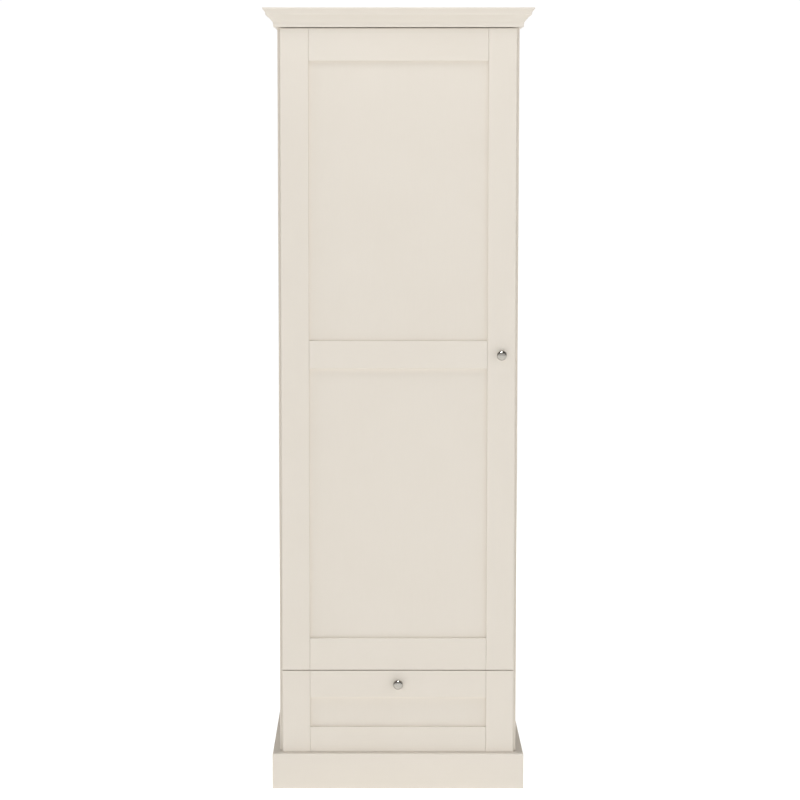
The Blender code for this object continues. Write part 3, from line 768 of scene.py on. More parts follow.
@dataclass(frozen=True)
class Metal:
    """Plated metal with fine rubbing and clouds in its gloss."""

    name: str
    colour: Colour
    cloud: Colour
    gloss: Span
    slot: str
    relief: float = 0.000002
    lines: float = 2600.0
    turned_lines: float = 4200.0

    def plated(self, draft: Draft, lines: float) -> Material:
        """Dress a material that has been started.

        Args:
            draft: the material.
            lines: scale of the rubbing.

        Returns:
            The material.
        """
        w, marks = draft.wiring, draft.use(rubbed(), Lines=lines)
        colour = w.blend(w.remap(marks["Gloss"], MIDTONES, WHOLE), self.colour, self.cloud)
        roughness = w.remap(marks["Gloss"], GLOSS_SWING, self.gloss)
        return draft.close(colour, roughness, marks["Height"], self.relief, Metallic=1.0)

    @cache
    def material(self, grain: Grain) -> Material:
        """Make the metal with its rubbing along one axis."""
        return self.plated(Draft.open(self.name, grain), self.lines)

    @cache
    def turned_material(self) -> Material:
        """Make the metal with rubbing that runs round a turned piece, read from its travel.

        Returns:
            The material.
        """
        draft = Draft.open(self.name + "_turned", Grain.Z)
        travel = draft.wiring.add("Attribute", attribute_name="travel").outputs["Fac"]
        draft.places["Drawn"] = draft.wiring.add("CombineXYZ", {"X": travel}).outputs[0]
        return self.plated(draft, self.turned_lines)


@dataclass(frozen=True)
class SoftPad:
    """Soft half-clear plastic of the bumpers."""

    name: str
    colour: Colour
    haze: Colour
    gloss: Span = (0.22, 0.36)
    relief: float = 0.00001
    clearness: float = 0.35
    index: float = 1.45
    slot: str = "bumper_clear"

    @cache
    def material(self) -> Material:
        """Make the plastic.

        Returns:
            The material.
        """
        draft = Draft.open(self.name, Grain.Z)
        w, marks = draft.wiring, draft.use(coat_marks(), Peel=2400.0, Marks=1800.0, Drift=300.0)
        colour = w.blend(marks["Tone"], self.colour, self.haze)
        roughness = w.remap(marks["Gloss"], GLOSS_SWING, self.gloss)
        return draft.close(colour, roughness, marks["Height"], self.relief,
                           Transmission_Weight=self.clearness, IOR=self.index)


CREAM = Paint("cream_paint", (0.800, 0.742, 0.660), (0.784, 0.724, 0.640))
INSIDE_CREAM = Paint("cream_inside", (0.780, 0.724, 0.642), (0.762, 0.702, 0.618), (0.44, 0.56))
PALE_WOOD = Timber("pale_wood", (0.68, 0.53, 0.35), (0.57, 0.42, 0.26), (0.40, 0.28, 0.17))
BACK_BOARD = FacedBoard("faced_board", (0.76, 0.72, 0.66), (0.60, 0.54, 0.46))
NICKEL = Metal("satin_nickel", (0.445, 0.425, 0.39), (0.415, 0.395, 0.36), (0.14, 0.20), "satin_nickel")
STEEL = Metal("plated_steel", (0.62, 0.62, 0.61), (0.54, 0.54, 0.54), (0.24, 0.38), "plated_steel")
CHROME = Metal("rail_steel", (0.66, 0.66, 0.67), (0.60, 0.60, 0.61), (0.08, 0.16), "rail_steel")
PAD = SoftPad("clear_pad", (0.78, 0.77, 0.74), (0.66, 0.65, 0.62))


# Pieces


def add_piece(name: str, surface: Shell | bpy.types.Mesh, material: Material, like: list[str],
              body: str | None = None) -> bpy.types.Object:
    """Put a surface into the scene as a piece.

    Args:
        name: the piece's name.
        surface: a shell, or a mesh of its own.
        material: its finish.
        like: nodes of the frame that it stands for.
        body: the body it rides on, if it stands for no node.

    Returns:
        The object.
    """
    piece = bpy.data.objects.new(name, surface.mesh(name) if isinstance(surface, Shell) else surface)
    piece.data.materials.append(material)
    bpy.context.scene.collection.objects.link(piece)
    if like:
        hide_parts(*like)
    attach(piece, body or frame["nodes"][like[0]]["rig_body"])
    log.info("%s: %d points", name, len(piece.data.vertices))
    return piece


def spans(node: str) -> list[Span]:
    """Return the limits of a node of the frame along x, y and z."""
    low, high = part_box(node)
    return [(low[i], high[i]) for i in range(3)]


def eased_board(node: str, finish: Paint | Timber | FacedBoard, grain: Grain, axis: Axis,
                grooves: dict[Edge, Groove] | None = None, limits: list[Span] | None = None,
                radius: float = EASE, word: str = "eased") -> None:
    """Put a board with eased edges in the place of a node.

    Args:
        node: the node.
        finish: its finish.
        grain: which way the finish runs.
        axis: along which its section is carried.
        grooves: grooves in the section.
        limits: limits along x, y and z, where they aren't the node's own.
        radius: how far its edges are eased.
        word: what ends the piece's name.
    """
    box = limits or spans(node)
    order = axis.value
    a, b = (box[i] for i in range(3) if order[i] != 2)
    shell = Section.box(a, b, grooves, radius).carried(box[order.index(2)], axis)
    add_piece(f"{node}_{word}", shell, finish.material(grain), [node])


@dataclass
class FramedFront:
    """Door or drawer front: two stiles, rails tongued into them, and panels in their grooves."""

    left: str
    right: str
    rails: dict[str, tuple[Edge, ...]]
    panels: list[str]
    paint: Paint = CREAM

    def groove(self) -> Groove:
        """Return the low limit, high limit and depth of the groove that holds the panels."""
        x, y, _ = spans(self.panels[0])
        return (y[0] - GAP, y[1] + GAP, spans(self.left)[0][1] - x[0] + GAP)

    def rail(self, node: str, edges: tuple[Edge, ...], groove: Groove) -> None:
        """Build one rail between the stiles, and the tongue that reaches into their grooves.

        Args:
            node: the rail's node.
            edges: those of its edges that hold a panel.
            groove: the groove of the stiles and rails.
        """
        x, y, z = spans(node)
        across = (spans(self.left)[0][1] + GAP, spans(self.right)[0][0] - GAP)
        eased_board(node, self.paint, Grain.X, Axis.X, {edge: groove for edge in edges}, [across, y, z])
        low, high = (groove[2] + GAP if edge in edges else GAP for edge in (Edge.B_LOW, Edge.B_HIGH))
        tongue = [x, (groove[0] + GAP, groove[1] - GAP), (z[0] + low, z[1] - high)]
        eased_board(node, self.paint, Grain.X, Axis.X, limits=tongue, word="tongue")

    def build(self) -> None:
        """Build and dress the front."""
        groove = self.groove()
        eased_board(self.left, self.paint, Grain.Z, Axis.Z, {Edge.A_HIGH: groove})
        eased_board(self.right, self.paint, Grain.Z, Axis.Z, {Edge.A_LOW: groove})
        for node, edges in self.rails.items():
            self.rail(node, edges, groove)
        for panel in self.panels:
            eased_board(panel, self.paint, Grain.Z, Axis.Z)


@dataclass
class Moulding:
    """Moulding carried round the front and both sides, mitred at the front corners."""

    prefix: str
    paint: Paint = CREAM

    def profile(self) -> Array:
        """Return (projection, height) rows, from the seat round the face and back to the seat."""
        raise NotImplementedError

    def build(self) -> None:
        """Carry the profile along each length; a mitre moves each end out by the projection."""
        p, z = self.profile().T
        _, front_y, _ = spans(self.prefix + "_front")
        left_x, side_y, _ = spans(self.prefix + "_left")
        seat_y = front_y[1]
        seat_x = -left_x[1]
        corner = np.column_stack([seat_x - GAP + p, seat_y - p, z])
        self.add("front", np.stack([corner * (-1, 1, 1), corner]), Grain.X)
        near = np.column_stack([seat_x + p, seat_y - p + GAP, z])
        far = np.column_stack([seat_x + p, np.full_like(p, side_y[1]), z])
        for side in Side:
            self.add(side.word, np.stack([near, far]) * (side.value, 1, 1), Grain.Y)

    def add(self, word: str, rings: Array, grain: Grain) -> None:
        """Skin one length and put it into the scene."""
        node = f"{self.prefix}_{word}"
        add_piece(node + "_run", Shell.skin(rings), self.paint.material(grain), [node])


@dataclass
class Cornice(Moulding):
    """Cornice: a lip, a hollow and a round over a long cove, and a foot."""

    prefix: str = "cornice"
    lip: float = 0.0035
    hollow_end: float = 0.012
    hollow_reach: float = 0.0276
    hollow_sag: float = 0.0004
    round_end: float = 0.020
    round_reach: float = 0.0238
    step: float = 0.0014
    cove_end: float = 0.0355
    cove_sag: float = 0.0002
    foot_reach: float = 0.0082
    foot_flare: float = 0.0013
    foot_radius: float = 0.0012
    edge: float = 0.0004
    edge_steps: int = 6

    def profile(self) -> Array:
        """Draw bowed lines for the hollow and the cove, a quarter ellipse for the round, and arcs.

        Returns:
            (projection, height) rows.
        """
        _, y, z = spans("cornice_front")
        reach, top, bottom = length(y), z[1], z[0]
        w = quarter_turn(self.edge_steps)
        nose = np.column_stack([reach - self.edge * (1 - np.sin(w)), top - self.edge * (1 - np.cos(w))])
        waist = (self.hollow_reach, top - self.hollow_end)
        hollow = bowed((reach, top - self.lip), waist, self.hollow_sag)
        bead = quarter_ellipse(waist, (self.round_reach, top - self.round_end))
        cove = bowed((self.round_reach - self.step, top - self.round_end),
                     (self.foot_reach + self.foot_flare, top - self.cove_end), self.cove_sag)
        foot = np.column_stack([self.foot_reach - self.foot_radius * (1 - np.cos(w)),
                                bottom + self.foot_radius * (1 - np.sin(w))])
        return np.concatenate([[(0.0, top)], nose, hollow, bead[1:], cove, foot, [(0.0, bottom)]])


@dataclass
class Plinth(Moulding):
    """Plinth: a plain board with a rounded top edge and an eased foot."""

    prefix: str = "plinth"
    top_radius: float = 0.003
    foot_ease: float = 0.0006
    edge_steps: int = 8

    def profile(self) -> Array:
        """Draw quarter circles at the top and bottom of the face.

        Returns:
            (projection, height) rows.
        """
        _, y, z = spans("plinth_front")
        reach, r, e = length(y), self.top_radius, self.foot_ease
        w = quarter_turn(self.edge_steps)
        crown = np.column_stack([reach - r + r * np.sin(w), z[1] - r + r * np.cos(w)])
        toe = np.column_stack([reach - e + e * np.cos(w), z[0] + e - e * np.sin(w)])
        return np.concatenate([[(0.0, z[1])], crown, toe, [(0.0, z[0])]])


@dataclass(frozen=True)
class Screw:
    """Screw with a low domed head and a cross recess; its shares are of the head's radius or height."""

    radius: float = 0.0036
    height: float = 0.0013
    recess: float = 0.0011
    arm: float = 0.62
    slot: float = 0.17
    arm_slope: float = 0.06
    slot_slope: float = 0.05
    fall: float = 0.55
    seat_share: float = 0.94
    rim_share: float = 0.12
    shank: float = 0.0
    shank_radius: float = 0.0019
    tip_share: float = 0.6
    tip_start: float = 0.95
    steps: int = 40
    rings: tuple[float, ...] = (1.0, 0.97, 0.88, 0.75, 0.66, 0.60, 0.52, 0.42, 0.32, 0.24, 0.17, 0.10, 0.02)

    def foot(self) -> Array:
        """Draw the shank, where there is one, and the side of the head.

        Returns:
            (radius, height) rows.
        """
        rows = [(self.radius * self.seat_share, 0.0), (self.radius, self.height * self.rim_share)]
        if self.shank:
            tip = (self.shank_radius * self.tip_share, -self.shank)
            rows = [tip, (self.shank_radius, -self.shank * self.tip_start), (self.shank_radius, 0.0)] + rows
        return np.array(rows)

    def shell(self, centre: Vector, facing: Vector) -> Shell:
        """Shape one screw.

        At radius r the head is h (1 - fall r^2 / R^2) high, less the recess where the point lies within
        slot R of either arm and within arm R of the middle.

        Args:
            centre: middle of the head's seat.
            facing: unit direction in which the head stands up.

        Returns:
            The shell.
        """
        share = np.array(self.rings)[:, None]
        w = whole_turn(self.steps)
        r = share * self.radius
        x, y = np.abs(r * np.cos(w)), np.abs(r * np.sin(w))
        near = np.minimum(x, y) / self.radius
        far = np.maximum(x, y) / self.radius
        inside_slot = np.clip((self.slot - near) / self.slot_slope, 0, 1)
        inside_arm = np.clip((self.arm - far) / self.arm_slope, 0, 1)
        top = self.height * (1 - self.fall * share ** 2) - self.recess * (inside_slot * inside_arm)
        foot = self.foot()
        f, circle = round_line(facing, w)
        radii = np.concatenate([np.repeat(foot[:, :1], self.steps, axis=1), np.repeat(r, self.steps, axis=1)])
        heights = np.concatenate([np.repeat(foot[:, 1:], self.steps, axis=1), top])
        return Shell.skin(np.array(centre) + heights[:, :, None] * f + radii[:, :, None] * circle)

    def row(self, name: str, places: list[tuple[Vector, Vector]], body: str,
            like: list[str] | None = None) -> None:
        """Put several screws into the scene as one piece.

        Args:
            name: the piece's name.
            places: the middle of each screw's seat, and the way its head faces.
            body: the body they ride on.
            like: nodes that they stand for.
        """
        shells = [self.shell(centre, facing) for centre, facing in places]
        add_piece(name, Shell.join(shells), STEEL.material(Grain.X), like or [], body)


@dataclass
class Knob:
    """Turned mushroom knob: a foot, a waist, a flared neck and a domed head, held by a screw."""

    node: str
    body: str
    pole: float = 0.0005
    foot_radius: float = 0.0068
    foot_height: float = 0.0022
    neck_radius: float = 0.0046
    waist_height: float = 0.0024
    waist_sag: float = 0.0005
    head_height: float = 0.0125
    rim_rise: float = 0.0052
    edge: float = 0.0003
    flare_steps: int = 12
    dome_power: float = 0.85
    dome_share: float = 0.985
    dome_steps: int = 24
    screw_head: float = 0.0025
    screw_recess: float = 0.0018
    finish: Metal = NICKEL

    def profile(self, reach: float, radius: float) -> Array:
        """Draw the knob from the middle of its foot to the middle of its dome.

        The neck flares by (sin w, 1 - cos w), and the dome is (cos v, sin v) raised to dome_power.

        Args:
            reach: height of the dome above the front's face.
            radius: that of the head.

        Returns:
            (radius, height) rows.
        """
        e = self.edge
        start = reach - self.head_height
        rim = start + self.rim_rise
        w = quarter_turn(self.flare_steps)
        v = quarter_turn(self.dome_steps, self.dome_share)[1:]
        sole = [(self.pole, GAP), (self.foot_radius - e, GAP), (self.foot_radius, GAP + e)]
        shoulder = np.column_stack([self.foot_radius - e + e * np.cos(w),
                                    self.foot_height - e + e * np.sin(w)])
        waist = bowed((self.foot_radius - 2 * e, self.foot_height),
                      (self.neck_radius, self.foot_height + self.waist_height), self.waist_sag)
        flare = np.column_stack([self.neck_radius + (radius - self.neck_radius) * np.sin(w),
                                 start + (rim - start) * (1 - np.cos(w))])
        dome = np.column_stack([radius * np.cos(v) ** self.dome_power,
                                rim + (reach - rim) * np.sin(v) ** self.dome_power])
        return np.concatenate([sole, shoulder, waist, flare, dome])

    def build(self) -> None:
        """Turn the profile about the middle of the node."""
        x, y, z = spans(self.node)
        profile = self.profile(length(y) + GAP, length(x) / 2)
        shell = turned(profile, Vector((middle(x), y[1] + GAP, middle(z))), FORWARDS, 2 * ROUND_STEPS)
        add_piece(self.node + "_turned", shell, self.finish.turned_material(), [self.node])

    def hold(self) -> None:
        """Build the screw that holds the knob from behind, with its shank through the front."""
        node = self.node + "_screw"
        x, y, z = spans(node)
        head = self.screw_head
        screw = Screw(radius=length(x) / 2, height=head, recess=self.screw_recess, shank=length(y) - head)
        seat = Vector((middle(x), y[1] - head, middle(z)))
        screw.row(node + "_headed", [(seat, BACKWARDS)], self.body, [node])


@dataclass
class Carcass:
    """Side panels, inner boards, packers and the thin back with its pins."""

    paint: Paint = INSIDE_CREAM
    back: FacedBoard = BACK_BOARD
    pin_pitch: float = 0.150
    pin_radius: float = 0.0022
    pin_height: float = 0.0006
    pin_margin: float = 0.0045
    pin_shares: tuple[Span, ...] = ((1.0, 0.0), (0.8, 0.7), (0.3, 1.0))
    pin_steps: int = 8

    def side_panel(self, side: Side) -> None:
        """Build a side panel with the rebate that holds the back.

        Args:
            side: which one.
        """
        node = f"{side.word}_side_panel"
        x, y, z = spans(node)
        back = spans("back_panel")
        inner, outer = min(map(abs, x)), max(map(abs, x))
        step, ledge = back[0][1] + GAP, back[1][0] - GAP
        corners = np.array([(inner, y[0]), (outer, y[0]), (outer, y[1]),
                            (step, y[1]), (step, ledge), (inner, ledge)])
        if side is Side.LEFT:
            corners = (corners * (-1, 1))[::-1]
        shell = Section.plain(corners).carried(z, Axis.Z)
        add_piece(node + "_eased", shell, CREAM.material(Grain.Z), [node])

    def pins(self) -> None:
        """Set round pin heads at an even pitch along the edges of the back."""
        x, y, z = spans("back_panel")
        m = self.pin_margin
        rises = np.linspace(z[0] + m, z[1] - m, int(length(z) / self.pin_pitch) + 1)
        runs = np.linspace(x[0] + m, x[1] - m, int(length(x) / self.pin_pitch) + 2)[1:-1]
        places = [(s, r) for s in (x[0] + m, x[1] - m) for r in rises]
        places += [(r, s) for s in (z[0] + m, z[1] - m) for r in runs]
        profile = np.array(self.pin_shares) * (self.pin_radius, self.pin_height)
        shells = [turned(profile, Vector((a, y[1], b)), BACKWARDS, self.pin_steps) for a, b in places]
        add_piece("back_pins", Shell.join(shells), STEEL.material(Grain.X), [], "carcass")

    def build(self) -> None:
        """Build and dress the carcass."""
        for side in Side:
            self.side_panel(side)
        eased_board("top_panel", CREAM, Grain.X, Axis.X)
        for node in ("base_panel", "drawer_divider", "top_front_rail", "top_back_rail", "plinth_back",
                     "plinth_packer", "cornice_packer"):
            eased_board(node, self.paint, Grain.X, Axis.X)
        eased_board("back_panel", self.back, Grain.Z, Axis.Z, radius=FINE_EASE)
        self.pins()


@dataclass
class HangingRail:
    """Oval tube and its two sockets."""

    wall: float = 0.0012
    tube_ease: float = FINE_EASE
    socket_wall: float = 0.0025
    socket_floor: float = 0.002
    socket_ease: float = 0.0006
    round_points: int = 25
    finish: Metal = CHROME

    def oval(self, y: Span, z: Span, inset: Array) -> Array:
        """Draw upright outlines with round ends: (r cos w, r sin w +- h), r being the half width.

        Args:
            y: limits of the width.
            z: limits of the height.
            inset: how far each outline is drawn in.

        Returns:
            Outlines of shape (insets, points, 2).
        """
        centre = np.array([middle(y), middle(z)])
        radius = length(y) / 2 - np.asarray(inset)[:, None]
        reach = length(z) / 2 - length(y) / 2
        w = np.concatenate([np.linspace(0, math.pi, self.round_points),
                            np.linspace(math.pi, 2 * math.pi, self.round_points)])
        lift = np.repeat([reach, -reach], self.round_points)
        return centre + np.stack([radius * np.cos(w), radius * np.sin(w) + lift], axis=-1)

    def tube(self) -> None:
        """Build the hollow tube: its outline goes out along the outside and back along the bore."""
        x, y, z = spans("hanging_rail")
        e, t = self.tube_ease, self.wall
        inset = np.array([0.0, 0.0, e, t - e, t, t, t - e, e])
        along = np.array([x[0] + e, x[1] - e, x[1], x[1], x[1] - e, x[0] + e, x[0], x[0]])
        shell = Shell.skin(place(self.oval(y, z, inset), along, Axis.X), wrap=True)
        metal = self.finish.material(Grain.X)
        add_piece("hanging_rail_tube", shell, metal, ["hanging_rail"])

    def socket(self, side: Side) -> None:
        """Build a cup-shaped socket: closed against the side panel, open towards the tube.

        Args:
            side: which one.
        """
        node = f"rail_socket_{side.word}"
        x, y, z = spans(node)
        wall, mouth = x if side is Side.LEFT else x[::-1]
        out = math.copysign(1.0, mouth - wall)
        deep = abs(mouth - wall)
        e, t, floor = self.socket_ease, self.socket_wall, self.socket_floor
        inset = np.array([e * 3, 0.0, 0.0, e, t - e, t, t, t + e])
        along = wall + out * np.array([0.0, 0.0, deep - e, deep, deep, deep - e, floor, floor])
        shell = Shell.skin(place(self.oval(y, z, inset), along, Axis.X))
        add_piece(node + "_cup", shell, self.finish.material(Grain.Z), [node])

    def build(self) -> None:
        """Build and dress the rail."""
        self.tube()
        for side in Side:
            self.socket(side)


@dataclass
class ConcealedHinge:
    """One concealed hinge: pressed cup, link, arm and mounting plate, with their screws."""

    level: str
    cup_radius: float = 0.0175
    wall: float = 0.0011
    pole: float = 0.0006
    cup_edge: float = 0.0005
    corner_power: float = 5.0
    cup_screw_margin: float = 0.0006
    plate_ease: float = 0.0010
    plate_screw_margin: float = 0.0065
    plate_screw_back: float = 0.012
    arm_rise: float = 0.0095
    arm_ease: float = 0.0005
    link_ease: float = 0.0003
    weld: float = 1e-6
    flat_degrees: float = 1.0
    adjuster_places: tuple[float, ...] = (0.010, 0.034)
    finish: Metal = STEEL
    screw: Screw = field(default_factory=lambda: Screw(radius=0.0034, height=0.0012))
    adjuster: Screw = field(default_factory=lambda: Screw(radius=0.0028, height=0.0009, arm=0.7, slot=0.2))

    def flange(self, half: Span, inset: float, w: Array) -> Array:
        """Work out the radius of the flange: ((|cos w| / a)^n + (|sin w| / b)^n)^(-1/n).

        Args:
            half: half its width and half its height.
            inset: how far it is drawn in.
            w: angles round the cup.

        Returns:
            The radius at each angle.
        """
        n = self.corner_power
        a, b = half[0] - inset, half[1] - inset
        return ((np.abs(np.cos(w)) / a) ** n + (np.abs(np.sin(w)) / b) ** n) ** (-1 / n)

    def cup(self) -> None:
        """Build cup and flange as one surface: up the outside, over the flange, down to the cup's floor."""
        node = f"hinge_cup_{self.level}"
        x, (bottom, top), z = spans(node)
        half = (length(x) / 2, length(z) / 2)
        w = whole_turn(2 * ROUND_STEPS)
        r, t, e = self.cup_radius, self.wall, self.cup_edge
        inner, seat = r - t, top - t
        eased, full = self.flange(half, e, w), self.flange(half, 0.0, w)
        rows = [
            (self.pole, bottom), (r - 2 * e, bottom), (r, bottom + 2 * e), (r, seat),
            (eased, seat), (full, seat + t / 3), (full, top - t / 3), (eased, top),
            (inner + 2 * e, top), (inner + e, top - 0.2 * e), (inner, top - 1.2 * e),
            (inner, bottom + t + 2 * e), (inner - 2 * e, bottom + t), (self.pole, bottom + t),
        ]
        radius = np.stack([np.broadcast_to(row[0], w.shape) for row in rows])
        depth = np.stack([np.full_like(w, row[1]) for row in rows])
        rings = np.stack([middle(x) + radius * np.cos(w), depth, middle(z) + radius * np.sin(w)], axis=-1)
        metal = self.finish.material(Grain.X)
        add_piece(node + "_pressed", Shell.skin(rings), metal, [node])
        reach = half[1] - self.screw.radius - self.cup_screw_margin
        places = [(Vector((middle(x), top, middle(z) + s * reach)), BACKWARDS) for s in (-1, 1)]
        self.screw.row(f"hinge_cup_screws_{self.level}", places, "door")

    def plate(self) -> None:
        """Build the mounting plate, with a screw above and below the arm."""
        node = f"hinge_plate_{self.level}"
        x, y, z = spans(node)
        shell = Section.box(x, y, radius=self.plate_ease).carried(z, Axis.Z)
        add_piece(node + "_eased", shell, self.finish.material(Grain.Y), [node])
        reach = length(z) / 2 - self.plate_screw_margin
        depth = y[0] + self.plate_screw_back
        places = [(Vector((x[1], depth, middle(z) + s * reach)), RIGHTWARDS) for s in (-1, 1)]
        self.screw.row(f"hinge_plate_screws_{self.level}", places, "carcass")

    def softened(self, node: str, width: float, grain: Grain) -> None:
        """Copy a node's mesh, merge its loose triangles, and round its edges.

        Args:
            node: the node.
            width: how far its edges are rounded.
            grain: which way the finish runs.
        """
        bm = bmesh.new()
        bm.from_mesh(frame["nodes"][node].data)
        bmesh.ops.remove_doubles(bm, verts=bm.verts, dist=self.weld)
        flat = math.radians(self.flat_degrees)
        bmesh.ops.dissolve_limit(bm, angle_limit=flat, verts=bm.verts, edges=bm.edges)
        name = node + "_softened"
        made = bpy.data.meshes.new(name)
        bm.to_mesh(made)
        bm.free()
        smooth(made)
        piece = add_piece(name, made, self.finish.material(grain), [node])
        bevel = piece.modifiers.new("edges", "BEVEL")
        bevel.width = width
        bevel.segments = 2
        bevel.limit_method = "ANGLE"
        bevel.angle_limit = math.radians(SHARP_DEGREES)

    def arm(self) -> None:
        """Build the arm with its two adjusting screws."""
        node = f"hinge_arm_{self.level}"
        _, y, z = spans(node)
        self.softened(node, self.arm_ease, Grain.Y)
        face = spans(f"hinge_plate_{self.level}")[0][1] + GAP + self.arm_rise
        places = [(Vector((face, y[1] - back, middle(z))), RIGHTWARDS) for back in self.adjuster_places]
        self.adjuster.row(f"hinge_adjusters_{self.level}", places, "carcass")

    def build(self) -> None:
        """Build and dress the hinge."""
        self.cup()
        self.plate()
        self.arm()
        self.softened(f"hinge_link_{self.level}", self.link_ease, Grain.X)


@dataclass
class Door:
    """Framed door on three concealed hinges, with its knob, screw and bumpers."""

    front: FramedFront
    knob: Knob
    hinges: list[ConcealedHinge]
    cup_clear: float = 0.0003
    cutter_reach: float = 0.010
    bumper_steps: int = 32
    bumper_wall: float = 0.45
    bumper_base: tuple[Span, ...] = ((0.96, 0.0), (1.0, 0.08))
    dome_share: float = 0.97
    dome_steps: int = 8

    def cup_cutter(self) -> bpy.types.Object:
        """Make cylinders where the hinge cups sit, long enough to come out at the back of the stile.

        Returns:
            One object with them all.
        """
        back = spans(self.front.left)[1][1]
        shells = []
        for hinge in self.hinges:
            x, y, z = spans(f"hinge_cup_{hinge.level}")
            radius = hinge.cup_radius + self.cup_clear
            profile = np.array([(radius, 0.0), (radius, back - y[0] + self.cutter_reach)])
            centre = Vector((middle(x), y[0] - self.cup_clear, middle(z)))
            shells.append(turned(profile, centre, BACKWARDS))
        cutter = bpy.data.objects.new("cup_cutter", Shell.join(shells).mesh("cup_cutter"))
        bpy.context.scene.collection.objects.link(cutter)
        return cutter

    def sink_cups(self) -> None:
        """Cut the round pockets of the hinge cups into the back of the left stile."""
        stile = bpy.data.objects[self.front.left + "_eased"]
        cutter = self.cup_cutter()
        cut = stile.modifiers.new("cups", "BOOLEAN")
        cut.operation, cut.solver, cut.object = "DIFFERENCE", "EXACT", cutter
        bpy.context.view_layer.update()
        graph = bpy.context.evaluated_depsgraph_get()
        result = bpy.data.meshes.new_from_object(stile.evaluated_get(graph))
        stile.modifiers.clear()
        stile.data = result
        bpy.data.objects.remove(cutter)
        smooth(result)
        while len(result.materials) > 1:
            result.materials.pop(index=1)
        result.polygons.foreach_set("material_index", np.zeros(len(result.polygons), np.int32))

    def bumper(self, level: str) -> None:
        """Turn a low dome: a short wall of k H, then (R cos w, H (k + (1 - k) sin w)).

        Args:
            level: which one.
        """
        node = f"door_bumper_{level}"
        x, y, z = spans(node)
        radius, height, k = length(x) / 2, length(y), self.bumper_wall
        w = quarter_turn(self.dome_steps, self.dome_share)
        dome = np.column_stack([radius * np.cos(w), height * (k + (1 - k) * np.sin(w))])
        profile = np.concatenate([np.array(self.bumper_base) * (radius, height), dome])
        shell = turned(profile, Vector((middle(x), y[0], middle(z))), BACKWARDS, self.bumper_steps)
        add_piece(node + "_dome", shell, PAD.material(), [node])

    def build(self) -> None:
        """Build and dress the door."""
        self.front.build()
        self.knob.build()
        for hinge in self.hinges:
            hinge.build()
        self.sink_cups()
        for level in ("lower", "upper"):
            self.bumper(level)
        self.knob.hold()


@dataclass
class Drawer:
    """Framed drawer front, timber box, runners and knob."""

    front: FramedFront
    knob: Knob
    timber: Timber = PALE_WOOD
    runner_wall: float = 0.0015
    runner_screws: tuple[float, ...] = (0.035, 0.225, 0.385)
    screw: Screw = field(default_factory=lambda: Screw(radius=0.0032, height=0.0010, recess=0.0009))

    def box(self) -> None:
        """Build the boards of the box, grooved for the bottom."""
        x, _, z = spans("drawer_bottom")
        deep = x[1] - spans("drawer_box_right")[0][0] + GAP
        groove = (z[0] - GAP, z[1] + GAP, deep)
        for word, grain, axis, edge in (
                ("right", Grain.Y, Axis.Y, Edge.A_LOW), ("left", Grain.Y, Axis.Y, Edge.A_HIGH),
                ("front", Grain.X, Axis.X, Edge.A_HIGH), ("back", Grain.X, Axis.X, Edge.A_LOW)):
            eased_board(f"drawer_box_{word}", self.timber, grain, axis, {edge: groove})
        eased_board("drawer_bottom", self.timber, Grain.Y, Axis.Y, radius=FINE_EASE)

    def channel(self, node: str, web: float, lip: float) -> None:
        """Build a channel.

        Args:
            node: its node.
            web: x of its web's outer face.
            lip: x that its two lips reach to.
        """
        _, y, z = spans(node)
        t = self.runner_wall
        inward = web + math.copysign(t, lip - web)
        corners = np.array([(web, z[0]), (lip, z[0]), (lip, z[0] + t), (inward, z[0] + t),
                            (inward, z[1] - t), (lip, z[1] - t), (lip, z[1]), (web, z[1])])
        if lip < web:
            corners = corners[::-1]
        shell = Section.plain(corners, FINE_EASE).carried(y, Axis.Y)
        add_piece(node + "_channel", shell, STEEL.material(Grain.Y), [node])

    def runners(self) -> None:
        """Build cabinet and drawer channels, with the screws that hold the cabinet ones."""
        places = []
        for side in Side:
            cabinet, drawer = f"cabinet_runner_{side.word}", f"drawer_runner_{side.word}"
            x, y, z = spans(cabinet)
            near, far = sorted(x, key=abs)
            self.channel(cabinet, far, near)
            face = side.value * (abs(far) - self.runner_wall)
            inwards = Vector((-side.value, 0, 0))
            for back in self.runner_screws:
                places.append((Vector((face, y[0] + back, middle(z))), inwards))
            near, far = sorted(spans(drawer)[0], key=abs)
            self.channel(drawer, near, far)
        self.screw.row("cabinet_runner_screws", places, "carcass")

    def build(self) -> None:
        """Build and dress the drawer."""
        self.front.build()
        self.knob.build()
        self.box()
        self.runners()
        self.knob.hold()


# Studio


@dataclass(frozen=True)
class Lamp:
    """One soft rectangular lamp: its place, what it points at, its size and power."""

    name: str
    at: tuple[float, float, float]
    to: tuple[float, float, float]
    size: Span
    power: float
    in_gloss: bool = False
    in_diffuse: bool = True

    def build(self) -> None:
        """Hang the lamp."""
        lamp = bpy.data.lights.new(self.name, "AREA")
        lamp.shape, lamp.energy = "RECTANGLE", self.power
        lamp.size, lamp.size_y = self.size
        item = bpy.data.objects.new(self.name, lamp)
        item.location = self.at
        item.rotation_euler = (Vector(self.to) - Vector(self.at)).to_track_quat("-Z", "Y").to_euler()
        item.visible_camera = False
        item.visible_glossy = self.in_gloss
        item.visible_diffuse = self.in_diffuse
        bpy.context.scene.collection.objects.link(item)


